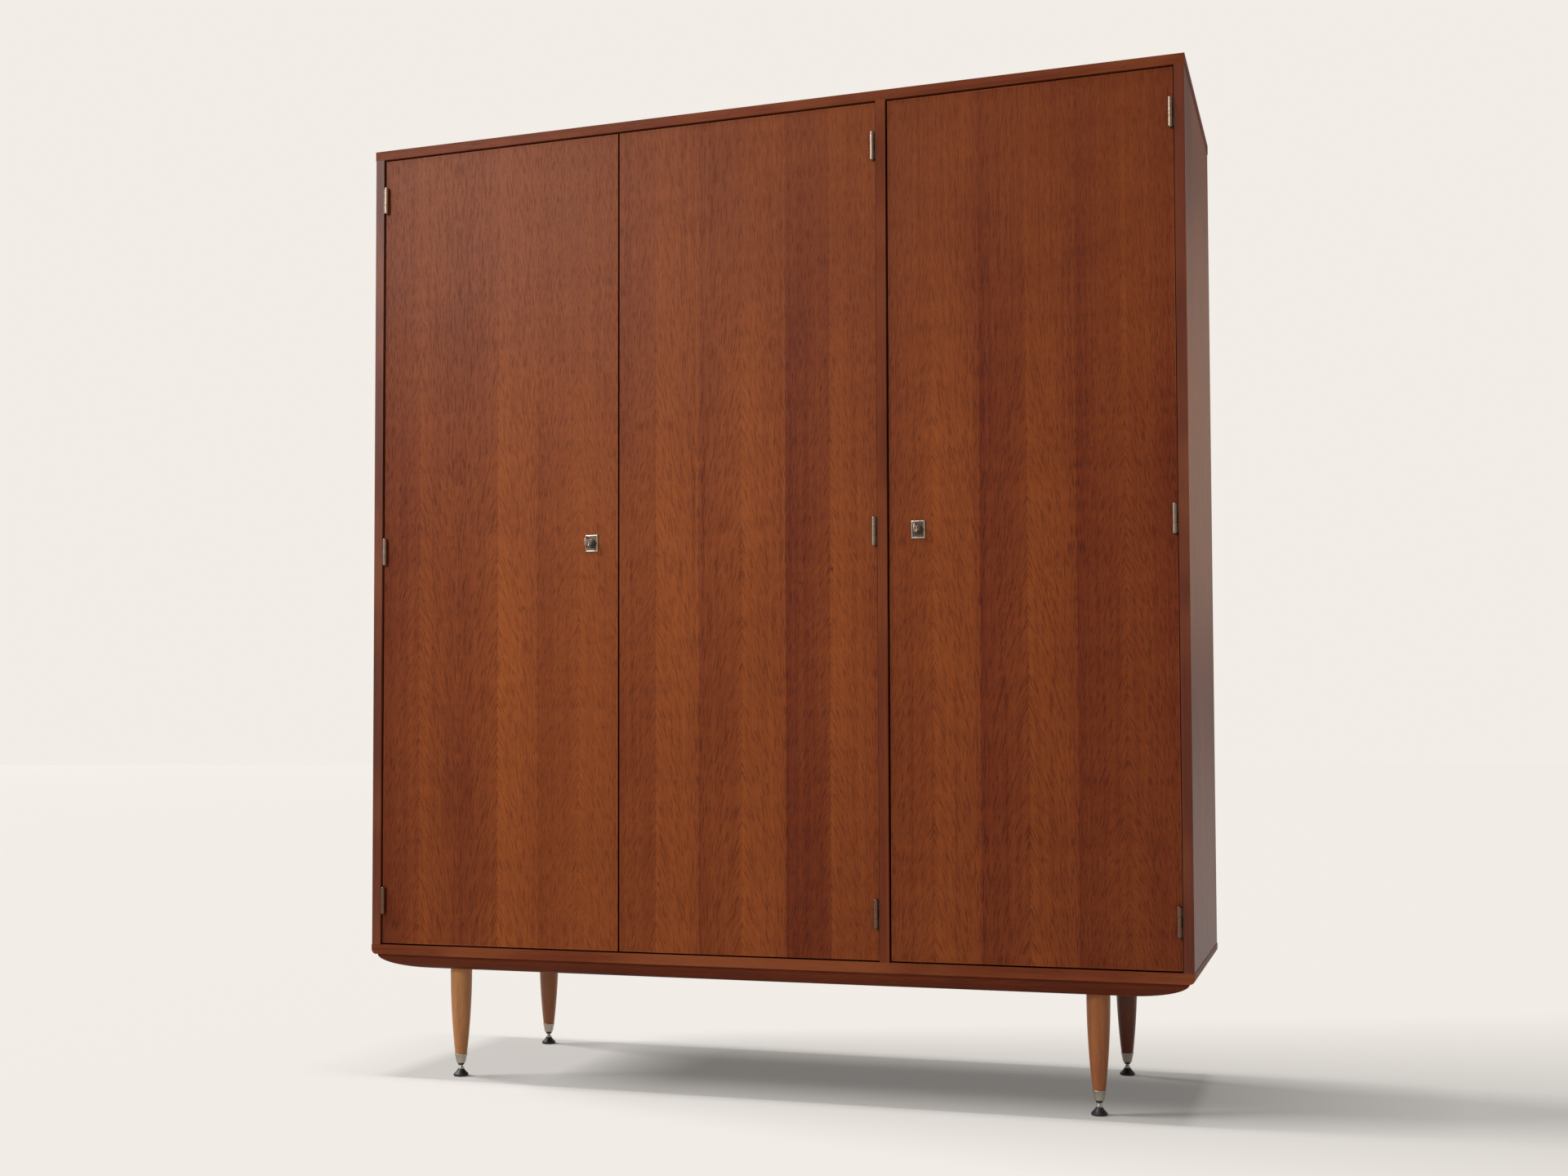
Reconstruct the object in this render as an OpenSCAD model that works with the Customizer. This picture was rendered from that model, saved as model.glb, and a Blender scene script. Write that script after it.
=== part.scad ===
// Three-door wardrobe on turned legs. Millimetres, +Z up, doors face -Y.
// The origin is on the floor, below the middle of the whole outline.

/* [Carcass] */
// Overall width across the top panel
carcass_w = 1600; // [1450:10:1750]
// Depth from the front edges to the back edges
carcass_d = 500; // [460:10:600]
// Height of the top panel's upper face above the floor
carcass_h = 1852; // [1700:1:2000]
// Thickness of the sides, the divider and the top
panel_t = 18; // [16:1:22]
// Thickness of the bottom board
bottom_t = 19; // [16:1:22]
// Radius of the bottom board's lower corners at its ends
board_round = 10; // [4:1:14]
// How far the top and bottom boards stand out past each side panel
end_overhang = 1; // [0:0.5:3]
// Middle of the divider, measured to the right of the wardrobe's centre
divider_x = 253; // [230:1:270]
// Thickness of the back panels
back_t = 5; // [4:1:8]
// Width of the rebate that the back panels sit in
back_rebate = 9; // [6:1:12]

/* [Doors] */
// Thickness of a door
door_t = 18; // [16:1:20]
// Gap where doors meet, beside the divider and round the hinges
door_gap = 3.5; // [3.2:0.1:4]
// Gap along the hinged edges of the middle and right doors, away from their hinges
hinge_side_gap = 1.5; // [1.5:0.1:3]
// Gap above and below the doors
door_gap_z = 3; // [2:0.5:4]
// How far the door faces sit behind the carcass front edges
door_recess = 3.5; // [3:0.5:5]

/* [Base and legs] */
// Height of the base frame's underside above the floor
base_z = 213; // [190:1:230]
// Height of the base frame
base_h = 27; // [22:1:32]
// Depth of the front and back base rails
base_rail_d = 110; // [95:5:130]
// Middle of each leg, from the carcass's ends
leg_inset_x = 172; // [150:1:200]
// Middle of each leg, from the carcass's front and back
leg_inset_y = 52; // [50:1:70]
// Radius of a leg where it meets the base
leg_top_r = 21; // [18:0.5:24]
// Radius of a leg just above its ferrule
leg_low_r = 11.4; // [10:0.1:13]
// Radius of a foot's disc
foot_r = 14.5; // [13:0.5:18]

/* [Hinges] */
// Length of a hinge
hinge_l = 50; // [45:1:60]
// Radius of a hinge barrel
hinge_r = 4.25; // [4:0.05:4.4]
// Radius of a hinge pin
hinge_pin_r = 2; // [1.5:0.1:2.2]
// Height of the lowest hinges above the door's lower edge
hinge_low_z = 84; // [60:1:200]
// Height of the middle hinges above the door's lower edge
hinge_mid_z = 778; // [700:1:850]
// Height of the highest hinges above the door's lower edge
hinge_top_z = 1488; // [1350:1:1500]

/* [Locks] */
// Distance of a key's axis from the door's free edge
lock_backset = 54; // [45:1:60]
// Height of the keys above the door's lower edge
lock_rise = 778; // [700:1:850]
// Width of a key plate
plate_w = 26; // [22:1:30]
// Height of a key plate
plate_h = 33; // [28:1:38]
// Travel of a lock's bolt
bolt_throw = 14; // [10:1:15]
// Travel of the middle door's top and bottom bolts
door_bolt_throw = 12; // [8:1:14]

/* [Inside] */
// Height of the hat shelf's underside above the floor
hat_shelf_z = 1530; // [1450:10:1600]
// Radius of the clothes rail
rail_r = 12.5; // [10:0.5:15]
// Distance of the clothes rail's axis below the hat shelf
rail_drop = 60; // [50:5:90]
// Height of the lowest shelf's underside above the floor
shelf_first_z = 560; // [450:10:600]
// Distance from one shelf to the next
shelf_pitch = 310; // [250:10:320]

/* [Hidden] */
eps = 0.01;

// How far a key stands out of its door's face, and so past the carcass's front edges
key_reach = 33.5;
key_out = key_reach - door_recess;
front_y = -(carcass_d + key_out) / 2 + key_out;
back_y = front_y + carcass_d;

// Heights
board_z = base_z + base_h;
floor_z = board_z + bottom_t;
ceiling_z = carcass_h - panel_t;
door_z = floor_z + door_gap_z;
door_h = ceiling_z - door_gap_z - door_z;
key_z = door_z + lock_rise;

// Widths
side_x = carcass_w / 2 - end_overhang;
inner_x = side_x - panel_t;
divider_l = divider_x - panel_t / 2;
divider_r = divider_x + panel_t / 2;
left_bay_w = divider_l + inner_x;
right_bay_w = inner_x - divider_r;
pair_door_w = (left_bay_w - 3 * door_gap) / 2;
right_door_w = right_bay_w - 2 * door_gap;
left_door_x = -inner_x + door_gap;
middle_door_x = left_door_x + pair_door_w + door_gap;
right_door_x = divider_r + door_gap;

// Depths
door_y = front_y + door_recess;
door_back_y = door_y + door_t;
back_face_y = back_y - back_t;

// Hinges: the axis stands in front of the door, a little inside its hinged edge
hinge_in = 3;
hinge_out = hinge_r + 0.25;
hinge_y = door_y - hinge_out;
leaf_t = 1.2;
leaf_reach = 16;
neck_y = 0.5;
knuckle_gap = 0.4;
knuckle_l = (hinge_l - 2 * knuckle_gap) / 3;
pin_clearance = 0.05;
pin_cap_t = 1;
pin_cap_gap = 0.1;
screw_r = 1.5;
screw_head_r = 2.8;
screw_l = 13;
neck_end_x = -hinge_pin_r - pin_clearance - 0.3;
left_axis_x = left_door_x + hinge_in;
middle_axis_x = middle_door_x + pair_door_w - hinge_in;
right_axis_x = right_door_x + right_door_w - hinge_in;
HINGE_ZS = [for (rise = [hinge_low_z, hinge_mid_z, hinge_top_z]) door_z + rise];

// Locks: the key's bit turns in one layer of the case and the bolt slides behind it
left_key_x = left_door_x + pair_door_w - lock_backset;
right_key_x = right_door_x + lock_backset;
case_edge = 2;
case_l = 75;
case_h = 62;
case_t = 15;
case_wall = 1.5;
bolt_h = 18;
bolt_t = 5;
bolt_y0 = 7.5;
bolt_rest = 0.7;
bolt_l = 62;
key_shaft_r = 2.2;
key_hole_r = 2.7;
bit_r = 9;
bit_t = 2.4;
bit_y0 = 2.6;
bit_y1 = 6.6;
bow_r = 11;
bow_hole_r = 7.2;
bow_t = 2.6;
plate_t = 1.6;
boss_r = 6.8;
boss_h = 5;
collar_r = 3.4;
collar_l = 2.8;
keeper_in = 2.5;
keeper_w = 16;
keeper_wall = 2;
keeper_h = 40;
pocket_clear = 1;

// Bolts at the middle door's free edge
door_bolt_r = 3.5;
door_bolt_in = 22;
door_bolt_y = door_back_y + 8;
door_bolt_l = 110;
door_bolt_x = middle_door_x + door_bolt_in;
bolt_hole_l = 12;
bolt_hole_r = door_bolt_r + 0.7;
bolt_tip_gap = 1.5;
knob_z = -40;
knob_r = 2.5;
knob_out = 9;
guide_w = 18;
guide_t = 1.5;
guide_z0 = -100;
guide_z1 = -4;
loop_w = 14;
loop_h = 10;
loop_y = 5.5;
LOOP_ZS = [-17, -95];

// Legs and feet
leg_x = carcass_w / 2 - leg_inset_x;
leg_front_y = front_y + leg_inset_y;
leg_back_y = back_y - leg_inset_y;
ferrule_z0 = 25;
ferrule_z1 = 44;
ferrule_wall = 0.8;
ferrule_low_r = 9;
stud_r = 4;
stud_hole_r = 4.4;
stud_top_z = 66;
foot_hole_l = 55;
leg_stud_z0 = base_z - 34;
leg_stud_l = 54;
bushing_t = 3;
bushing_r = 6.5;
foot_h = 14;
nut_h = 2.5;

// Inside
shelf_front_y = front_y + 60;
shelf_side_gap = 1;
rail_z = hat_shelf_z - rail_drop;
rail_y = (door_back_y + back_face_y) / 2;
pin_r = 2.5;
pin_in = 10;
pin_out = 8;
SHELF_PIN_YS = [shelf_front_y + 50, back_face_y - 60];

SHELF_ZS = [for (i = [0:3]) shelf_first_z + i * shelf_pitch];

// The pocket in the divider that the right lock's bolt enters
pocket_y0 = door_back_y + bolt_y0 - pocket_clear;
pocket_y1 = pocket_y0 + bolt_t + 2 * pocket_clear;
pocket_depth = 10;
strike_t = 1.2;
strike_edge = 5;
strike_h = 50;

// Lock case, from the key's axis towards the door's free edge
case_x1 = lock_backset - case_edge;
case_x0 = case_x1 - case_l;
case_below = 26;
case_z0 = key_z - case_below;

// Hinge leaves, from the hinge's axis and middle
jamb_x = -hinge_in - door_gap;
outer_knuckle_z = hinge_l / 2 - knuckle_l;
LEAF_SCREW_ZS = [-18, 0, 18];

// Base frame: a quarter ellipse in section, steeper at the front than at the ends
front_inset = 6;
end_inset = board_round;
front_slope = 24;
end_slope = 125;
EDGE_STEPS = 16;
ROUND_STEPS = 8;

// Inner plan corners of the mitred rails
frame_x = carcass_w / 2 - base_rail_d;
frame_y = carcass_d / 2 - base_rail_d;

LEG_STEPS = 12;
leg_len = base_z - ferrule_z1;

// --- Helpers -------------------------------------------------------------

// A box between two opposite corners
module box(low, high) {
    translate(low) cube(high - low);
}

// A cylinder along Y, from y0 to y1
module rod_y(x, z, y0, y1, r) {
    translate([x, y0, z]) rotate([-90, 0, 0]) cylinder(h = y1 - y0, r = r, $fn = 48);
}

// A cylinder along X, from x0 to x1
module rod_x(y, z, x0, x1, r) {
    translate([x0, y, z]) rotate([0, 90, 0]) cylinder(h = x1 - x0, r = r, $fn = 48);
}

// --- Carcass -------------------------------------------------------------

module top_panel() color("#6e3420") difference() {
    box([-carcass_w / 2, front_y, ceiling_z], [carcass_w / 2, back_y, carcass_h]);
    box([-inner_x - back_rebate, back_face_y, ceiling_z - eps],
        [inner_x + back_rebate, back_y + eps, ceiling_z + back_rebate]);
    // Hole for the middle door's top bolt
    translate([door_bolt_x, door_bolt_y, ceiling_z - eps])
        cylinder(h = bolt_hole_l, r = bolt_hole_r, $fn = 32);
}

// Board's outline from the front, for an arc of a lower corner that starts at an angle
function board_corner(side, start) = [for (i = [0:ROUND_STEPS]) [
    side * (carcass_w / 2 - board_round) + board_round * cos(start - 90 * i / ROUND_STEPS),
    board_z + board_round + board_round * sin(start - 90 * i / ROUND_STEPS)
]];

module bottom_board() color("#7a3d25") difference() {
    translate([0, back_y, 0]) rotate([90, 0, 0]) linear_extrude(height = carcass_d)
        polygon(concat(board_corner(1, 0), board_corner(-1, -90),
            [[-carcass_w / 2, floor_z], [carcass_w / 2, floor_z]]));
    box([-inner_x - back_rebate, back_face_y, floor_z - back_rebate],
        [inner_x + back_rebate, back_y + eps, floor_z + eps]);
    // Hole for the middle door's bottom bolt
    translate([door_bolt_x, door_bolt_y, floor_z - bolt_hole_l])
        cylinder(h = bolt_hole_l + eps, r = bolt_hole_r, $fn = 32);
}

// Holes for the shelf pins in a panel's face at x, drilled towards dir
module pin_holes(x, dir) {
    for (z = SHELF_ZS, y = SHELF_PIN_YS)
        rod_x(y, z - pin_r, min(x - eps, x + dir * pin_in), max(x + eps, x + dir * pin_in), pin_r);
}

module side_panel(dir) difference() {
    box([min(dir * inner_x, dir * side_x), front_y, floor_z],
        [max(dir * inner_x, dir * side_x), back_y, ceiling_z]);
    box([min(dir * (inner_x - eps), dir * (inner_x + back_rebate)), back_face_y, floor_z - eps],
        [max(dir * (inner_x - eps), dir * (inner_x + back_rebate)), back_y + eps,
         ceiling_z + eps]);
}

module left_side_panel() color("#6b3422") side_panel(-1);

module right_side_panel() color("#6b3422") difference() {
    side_panel(1);
    pin_holes(inner_x, 1);
}

module divider_panel() color("#6b3422") difference() {
    box([divider_l, front_y, floor_z], [divider_r, back_face_y, ceiling_z]);
    box([divider_r - pocket_depth, pocket_y0, key_z - bolt_h / 2 - pocket_clear],
        [divider_r + eps, pocket_y1, key_z + bolt_h / 2 + pocket_clear]);
    box([divider_r - strike_t, pocket_y0 - strike_edge, key_z - strike_h / 2],
        [divider_r + eps, pocket_y1 + strike_edge, key_z + strike_h / 2]);
    pin_holes(divider_r, -1);
}

module strike_plate() color("#c8c4bb") difference() {
    box([divider_r - strike_t, pocket_y0 - strike_edge, key_z - strike_h / 2],
        [divider_r, pocket_y1 + strike_edge, key_z + strike_h / 2]);
    box([divider_r - 2 * strike_t, pocket_y0, key_z - bolt_h / 2 - pocket_clear],
        [divider_r + eps, pocket_y1, key_z + bolt_h / 2 + pocket_clear]);
}

// --- Base frame ----------------------------------------------------------

// Half outline of the base: a quarter ellipse from the board down to the flat underside
function base_outline(half, slope) = concat(
    [for (i = [0:EDGE_STEPS]) [
        half - slope * (1 - cos(90 * i / EDGE_STEPS)),
        board_z - base_h * sin(90 * i / EDGE_STEPS)
    ]],
    [for (i = [EDGE_STEPS:-1:0]) [
        -half + slope * (1 - cos(90 * i / EDGE_STEPS)),
        board_z - base_h * sin(90 * i / EDGE_STEPS)
    ]]
);

module base_form() {
    mid_y = (front_y + back_y) / 2;
    intersection() {
        translate([0, mid_y, 0]) rotate([90, 0, 0])
            linear_extrude(height = carcass_d, center = true)
                polygon(base_outline(carcass_w / 2 - end_inset, end_slope));
        translate([0, mid_y, 0]) rotate([90, 0, 90])
            linear_extrude(height = carcass_w, center = true)
                polygon(base_outline(carcass_d / 2 - front_inset, front_slope));
    }
}

module plan_prism(points) {
    translate([0, (front_y + back_y) / 2, base_z - 1])
        linear_extrude(height = base_h + 2) polygon(points);
}

module stud_holes() {
    for (x = [-leg_x, leg_x], y = [leg_front_y, leg_back_y])
        translate([x, y, base_z - 1])
            cylinder(h = leg_stud_z0 + leg_stud_l - base_z + 2, r = stud_r, $fn = 32);
}

module base_front_rail() color("#5d2d1b") difference() {
    intersection() {
        base_form();
        plan_prism([[-carcass_w / 2, -carcass_d / 2], [carcass_w / 2, -carcass_d / 2],
                    [frame_x, -frame_y], [-frame_x, -frame_y]]);
    }
    stud_holes();
}

module base_back_rail() color("#5d2d1b") difference() {
    intersection() {
        base_form();
        plan_prism([[carcass_w / 2, carcass_d / 2], [-carcass_w / 2, carcass_d / 2],
                    [-frame_x, frame_y], [frame_x, frame_y]]);
    }
    stud_holes();
}

module base_end_rail() intersection() {
    base_form();
    plan_prism([[carcass_w / 2, -carcass_d / 2], [carcass_w / 2, carcass_d / 2],
                [frame_x, frame_y], [frame_x, -frame_y]]);
}

module base_right_rail() color("#5d2d1b") base_end_rail();
module base_left_rail() color("#5d2d1b") mirror([1, 0, 0]) base_end_rail();

// --- Back ----------------------------------------------------------------

module back_panel(x0, x1) {
    box([x0, back_face_y, floor_z - back_rebate], [x1, back_y, ceiling_z + back_rebate]);
}

module back_panel_left() color("#9a7650") back_panel(-inner_x - back_rebate, divider_x);
module back_panel_right() color("#9a7650") back_panel(divider_x + 0.5, inner_x + back_rebate);

// Countersunk screws round the back panels, driven towards the front
module back_panel_screws() color("#b0aca4") {
    rows = 6;
    end_margin = 30;
    edge_margin = 5;
    screw_y0 = back_y - 18;
    step = (ceiling_z - floor_z - 2 * end_margin) / (rows - 1);
    columns = [-inner_x - edge_margin, divider_x - edge_margin, divider_x + edge_margin,
               inner_x + edge_margin];
    for (i = [0:rows - 1], x = columns)
        rod_y(x, floor_z + end_margin + i * step, screw_y0, back_y, screw_r);
    for (x = [-520, -260, 0, 390, 650], z = [floor_z - edge_margin, ceiling_z + edge_margin])
        rod_y(x, z, screw_y0, back_y, screw_r);
}

// --- Fittings inside -----------------------------------------------------

module hat_shelf() color("#8a5a36")
    box([-inner_x, shelf_front_y, hat_shelf_z], [divider_l, back_face_y, hat_shelf_z + panel_t]);

module hat_shelf_cleats() color("#8a5a36") {
    drop = 22;
    cleat_front_y = shelf_front_y + 20;
    box([-inner_x, cleat_front_y, hat_shelf_z - drop],
        [-inner_x + panel_t, back_face_y, hat_shelf_z]);
    box([divider_l - panel_t, cleat_front_y, hat_shelf_z - drop],
        [divider_l, back_face_y, hat_shelf_z]);
}

module clothes_rail() color("#c9c6be")
    rod_x(rail_y, rail_z, -inner_x + 2, divider_l - 2, rail_r);

// Cup with a flange for an end wall at x = 0, with the rail towards +X
module rail_socket() difference() {
    flange_t = 2;
    cup_l = 16;
    union() {
        rod_x(rail_y, rail_z, 0, flange_t, rail_r + 12);
        rod_x(rail_y, rail_z, 0, cup_l, rail_r + 3);
    }
    rod_x(rail_y, rail_z, flange_t, cup_l + 1, rail_r);
}

module rail_sockets() color("#b9b5ad") {
    translate([-inner_x, 0, 0]) rail_socket();
    translate([divider_l, 0, 0]) mirror([1, 0, 0]) rail_socket();
}

module shelf(level) color("#8a5a36")
    box([divider_r + shelf_side_gap, shelf_front_y, SHELF_ZS[level]],
        [inner_x - shelf_side_gap, back_face_y - 2, SHELF_ZS[level] + panel_t]);

module shelf_1() shelf(0);
module shelf_2() shelf(1);
module shelf_3() shelf(2);
module shelf_4() shelf(3);

module shelf_pins() color("#b58a3c") {
    for (z = SHELF_ZS, y = SHELF_PIN_YS) {
        rod_x(y, z - pin_r, divider_r - pin_in, divider_r + pin_out, pin_r);
        rod_x(y, z - pin_r, inner_x - pin_out, inner_x + pin_in, pin_r);
    }
}

// Blocks behind the doors' free edges, where the doors come to rest
module door_stops() color("#8a5a36") {
    stop_gap = 0.4;
    stop_w = 30;
    stop_h = 14;
    y0 = door_back_y + stop_gap;
    y1 = door_back_y + 16;
    for (x = [left_door_x + pair_door_w - 90, middle_door_x + 60, right_door_x + 30]) {
        box([x, y0, ceiling_z - stop_h], [x + stop_w, y1, ceiling_z]);
        box([x, y0, floor_z], [x + stop_w, y1, floor_z + stop_h]);
    }
}

// --- Legs and feet -------------------------------------------------------

// Radius of the leg's convex taper, for t from 0 at the ferrule to 1 at the base
function leg_radius(t) = leg_low_r + (leg_top_r - leg_low_r) * (1 - pow(1 - t, 2));

LEG_PROFILE = concat(
    [[0, ferrule_z0 + 2], [ferrule_low_r - ferrule_wall, ferrule_z0 + 2],
     [leg_low_r - ferrule_wall, ferrule_z1]],
    [for (i = [0:LEG_STEPS]) [leg_radius(i / LEG_STEPS), ferrule_z1 + leg_len * i / LEG_STEPS]],
    [[0, base_z]]
);

module leg(x, y) color("#b06f3a") translate([x, y, 0]) difference() {
    rotate_extrude($fn = 96) polygon(LEG_PROFILE);
    translate([0, 0, ferrule_z0]) cylinder(h = foot_hole_l, r = stud_hole_r, $fn = 48);
    translate([0, 0, leg_stud_z0 - 1]) cylinder(h = base_z - leg_stud_z0 + 2, r = stud_r, $fn = 48);
}

module leg_front_left() leg(-leg_x, leg_front_y);
module leg_front_right() leg(leg_x, leg_front_y);
module leg_back_left() leg(-leg_x, leg_back_y);
module leg_back_right() leg(leg_x, leg_back_y);

module at_legs() {
    for (x = [-leg_x, leg_x], y = [leg_front_y, leg_back_y]) translate([x, y, 0]) children();
}

module leg_studs() color("#a9a59c")
    at_legs() translate([0, 0, leg_stud_z0]) cylinder(h = leg_stud_l, r = stud_r, $fn = 32);

module leg_ferrules() color("#cfcac0") at_legs() rotate_extrude($fn = 96) polygon([
    [stud_hole_r, ferrule_z0], [ferrule_low_r - 1.5, ferrule_z0],
    [ferrule_low_r, ferrule_z0 + 1.5], [leg_low_r + 0.1, ferrule_z1],
    [leg_low_r - ferrule_wall, ferrule_z1],
    [ferrule_low_r - ferrule_wall, ferrule_z0 + 2], [stud_hole_r, ferrule_z0 + 2]
]);

module leg_bushings() color("#1c1a19") at_legs()
    translate([0, 0, ferrule_z0 - bushing_t]) difference() {
        cylinder(h = bushing_t, r = bushing_r, $fn = 48);
        translate([0, 0, -eps]) cylinder(h = bushing_t + 1, r = stud_r + 0.05, $fn = 48);
    }

module foot(x, y) color("#171514") translate([x, y, 0]) {
    rotate_extrude($fn = 96) polygon([
        [0, 0], [foot_r - 0.8, 0], [foot_r, 1], [foot_r, 4], [foot_r - 3, 8],
        [stud_r + 3.5, 12], [stud_r + 2.5, foot_h], [stud_r + 2, foot_h],
        [stud_r + 2, foot_h + nut_h], [stud_r, foot_h + nut_h],
        [stud_r, stud_top_z], [0, stud_top_z]
    ]);
}

module foot_front_left() foot(-leg_x, leg_front_y);
module foot_front_right() foot(leg_x, leg_front_y);
module foot_back_left() foot(-leg_x, leg_back_y);
module foot_back_right() foot(leg_x, leg_back_y);

// --- Hinges, drawn about the axis with the door towards +X ----------------

// Places a door's three hinges; dir is 1 where the door lies towards +X of its axis
module at_hinges(axis_x, dir) {
    for (z = HINGE_ZS) translate([axis_x, hinge_y, z]) scale_x(dir) children();
}

module scale_x(dir) {
    if (dir > 0) children();
    else mirror([1, 0, 0]) children();
}

module knuckle(z) translate([0, 0, z]) difference() {
    cylinder(h = knuckle_l, r = hinge_r, $fn = 64);
    translate([0, 0, -eps]) cylinder(h = knuckle_l + 1, r = hinge_pin_r + pin_clearance, $fn = 48);
}

module leaf_holes(x0) {
    for (z = LEAF_SCREW_ZS)
        rod_x(hinge_out + leaf_reach / 2, z, x0 - 1, x0 + leaf_t + 1, screw_head_r);
}

// Leaf on the carcass, with the two outer knuckles
module frame_leaf() {
    difference() {
        box([jamb_x, neck_y, -hinge_l / 2], [jamb_x + leaf_t, hinge_out + leaf_reach, hinge_l / 2]);
        leaf_holes(jamb_x);
    }
    for (z = [-hinge_l / 2, outer_knuckle_z]) {
        knuckle(z);
        box([jamb_x, neck_y, z], [neck_end_x, neck_y + leaf_t, z + knuckle_l]);
    }
}

// Leaf on the door's edge, with the middle knuckle
module door_leaf() {
    difference() {
        union() {
            box([-hinge_in - leaf_t, hinge_out, -hinge_l / 2],
                [-hinge_in, hinge_out + leaf_reach, hinge_l / 2]);
            box([-hinge_in - leaf_t, 0, -knuckle_l / 2],
                [-hinge_in, hinge_out + 1, knuckle_l / 2]);
        }
        leaf_holes(-hinge_in - leaf_t);
    }
    knuckle(-knuckle_l / 2);
}

// Pin with a cap at each end, just clear of the knuckles
module hinge_pin() {
    pin_l = hinge_l + 2 * (pin_cap_gap + pin_cap_t);
    translate([0, 0, -pin_l / 2]) cylinder(h = pin_l, r = hinge_pin_r, $fn = 48);
    for (z = [-pin_l / 2, pin_l / 2 - pin_cap_t])
        translate([0, 0, z]) cylinder(h = pin_cap_t, r = hinge_r - 0.8, $fn = 48);
}

// Countersunk screws through a leaf; into is 1 for the door's edge and -1 for the carcass
module leaf_screws(x0, into) {
    for (z = LEAF_SCREW_ZS) {
        rod_x(hinge_out + leaf_reach / 2, z, x0, x0 + leaf_t, screw_head_r);
        rod_x(hinge_out + leaf_reach / 2, z, min(x0, x0 + into * screw_l),
              max(x0, x0 + into * screw_l), screw_r);
    }
}

module frame_hinge_leaves() color("#cbc8c0") {
    at_hinges(left_axis_x, 1) frame_leaf();
    at_hinges(middle_axis_x, -1) frame_leaf();
    at_hinges(right_axis_x, -1) frame_leaf();
}

module frame_hinge_screws() color("#b8b4ab") {
    at_hinges(left_axis_x, 1) leaf_screws(jamb_x, -1);
    at_hinges(middle_axis_x, -1) leaf_screws(jamb_x, -1);
    at_hinges(right_axis_x, -1) leaf_screws(jamb_x, -1);
}

module door_screws(axis_x, dir) color("#b8b4ab")
    at_hinges(axis_x, dir) leaf_screws(-hinge_in - leaf_t, 1);

module left_door_hinge_leaves() color("#cbc8c0") at_hinges(left_axis_x, 1) door_leaf();
module middle_door_hinge_leaves() color("#cbc8c0") at_hinges(middle_axis_x, -1) door_leaf();
module right_door_hinge_leaves() color("#cbc8c0") at_hinges(right_axis_x, -1) door_leaf();
module left_door_hinge_pins() color("#cbc8c0") at_hinges(left_axis_x, 1) hinge_pin();
module middle_door_hinge_pins() color("#cbc8c0") at_hinges(middle_axis_x, -1) hinge_pin();
module right_door_hinge_pins() color("#cbc8c0") at_hinges(right_axis_x, -1) hinge_pin();
module left_door_screws() door_screws(left_axis_x, 1);
module middle_door_screws() door_screws(middle_axis_x, -1);
module right_door_screws() door_screws(right_axis_x, -1);

// --- Doors ---------------------------------------------------------------

module door_slab(x, w) box([x, door_y, door_z], [x + w, door_back_y, door_z + door_h]);

// Slab hinged on its right, whose hinged edge is notched round the hinges
module notched_slab(x, w) difference() {
    notch_room = 1;
    door_slab(x, w + door_gap - hinge_side_gap);
    for (z = HINGE_ZS)
        box([x + w, door_y - eps, z - hinge_l / 2 - notch_room],
            [x + w + door_gap, door_back_y + eps, z + hinge_l / 2 + notch_room]);
}

// Key-shaped hole through whatever lies between y0 and y1
module keyhole(x, y0, y1) {
    rod_y(x, key_z, y0, y1, key_hole_r);
    box([x - bit_t / 2 - 0.4, y0, key_z - bit_r - 0.5], [x + bit_t / 2 + 0.4, y1, key_z]);
}

module left_door_panel() color("#7c3f27") difference() {
    door_slab(left_door_x, pair_door_w);
    keyhole(left_key_x, door_y - eps, door_back_y + eps);
}

module middle_door_panel() color("#7c3f27") notched_slab(middle_door_x, pair_door_w);

module right_door_panel() color("#7c3f27") difference() {
    notched_slab(right_door_x, right_door_w);
    keyhole(right_key_x, door_y - eps, door_back_y + eps);
}

// --- Locks and keys, drawn for a lock whose bolt moves towards +X ----------

module at_lock(x, dir) translate([x, 0, 0]) scale_x(dir) children();

// Hollow case screwed to the door's inner face
module lock_case() difference() {
    box([case_x0, door_back_y, case_z0], [case_x1, door_back_y + case_t, case_z0 + case_h]);
    box([case_x0 + case_wall, door_back_y + case_wall, case_z0 + case_wall],
        [case_x1 - case_wall, door_back_y + case_t - case_wall, case_z0 + case_h - case_wall]);
    keyhole(0, door_back_y - eps, door_back_y + case_wall + eps);
    box([case_x1 - 2 * case_wall, door_back_y + bolt_y0 - 0.4, key_z - bolt_h / 2 - 0.4],
        [case_x1 + eps, door_back_y + bolt_y0 + bolt_t + 0.4, key_z + bolt_h / 2 + 0.4]);
}

module lock_bolt() {
    box([case_x1 - bolt_rest - bolt_l + 1.5, door_back_y + bolt_y0, key_z - bolt_h / 2],
        [case_x1 - bolt_rest, door_back_y + bolt_y0 + bolt_t, key_z + bolt_h / 2]);
}

// Rectangular key plate with a bevelled rim and a round boss
module key_plate() difference() {
    union() {
        box([-plate_w / 2, door_y - plate_t, key_z - plate_h / 2],
            [plate_w / 2, door_y, key_z + plate_h / 2]);
        rod_y(0, key_z, door_y - plate_t - boss_h, door_y - plate_t + eps, boss_r);
    }
    keyhole(0, door_y - plate_t - boss_h - eps, door_y + eps);
}

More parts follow.
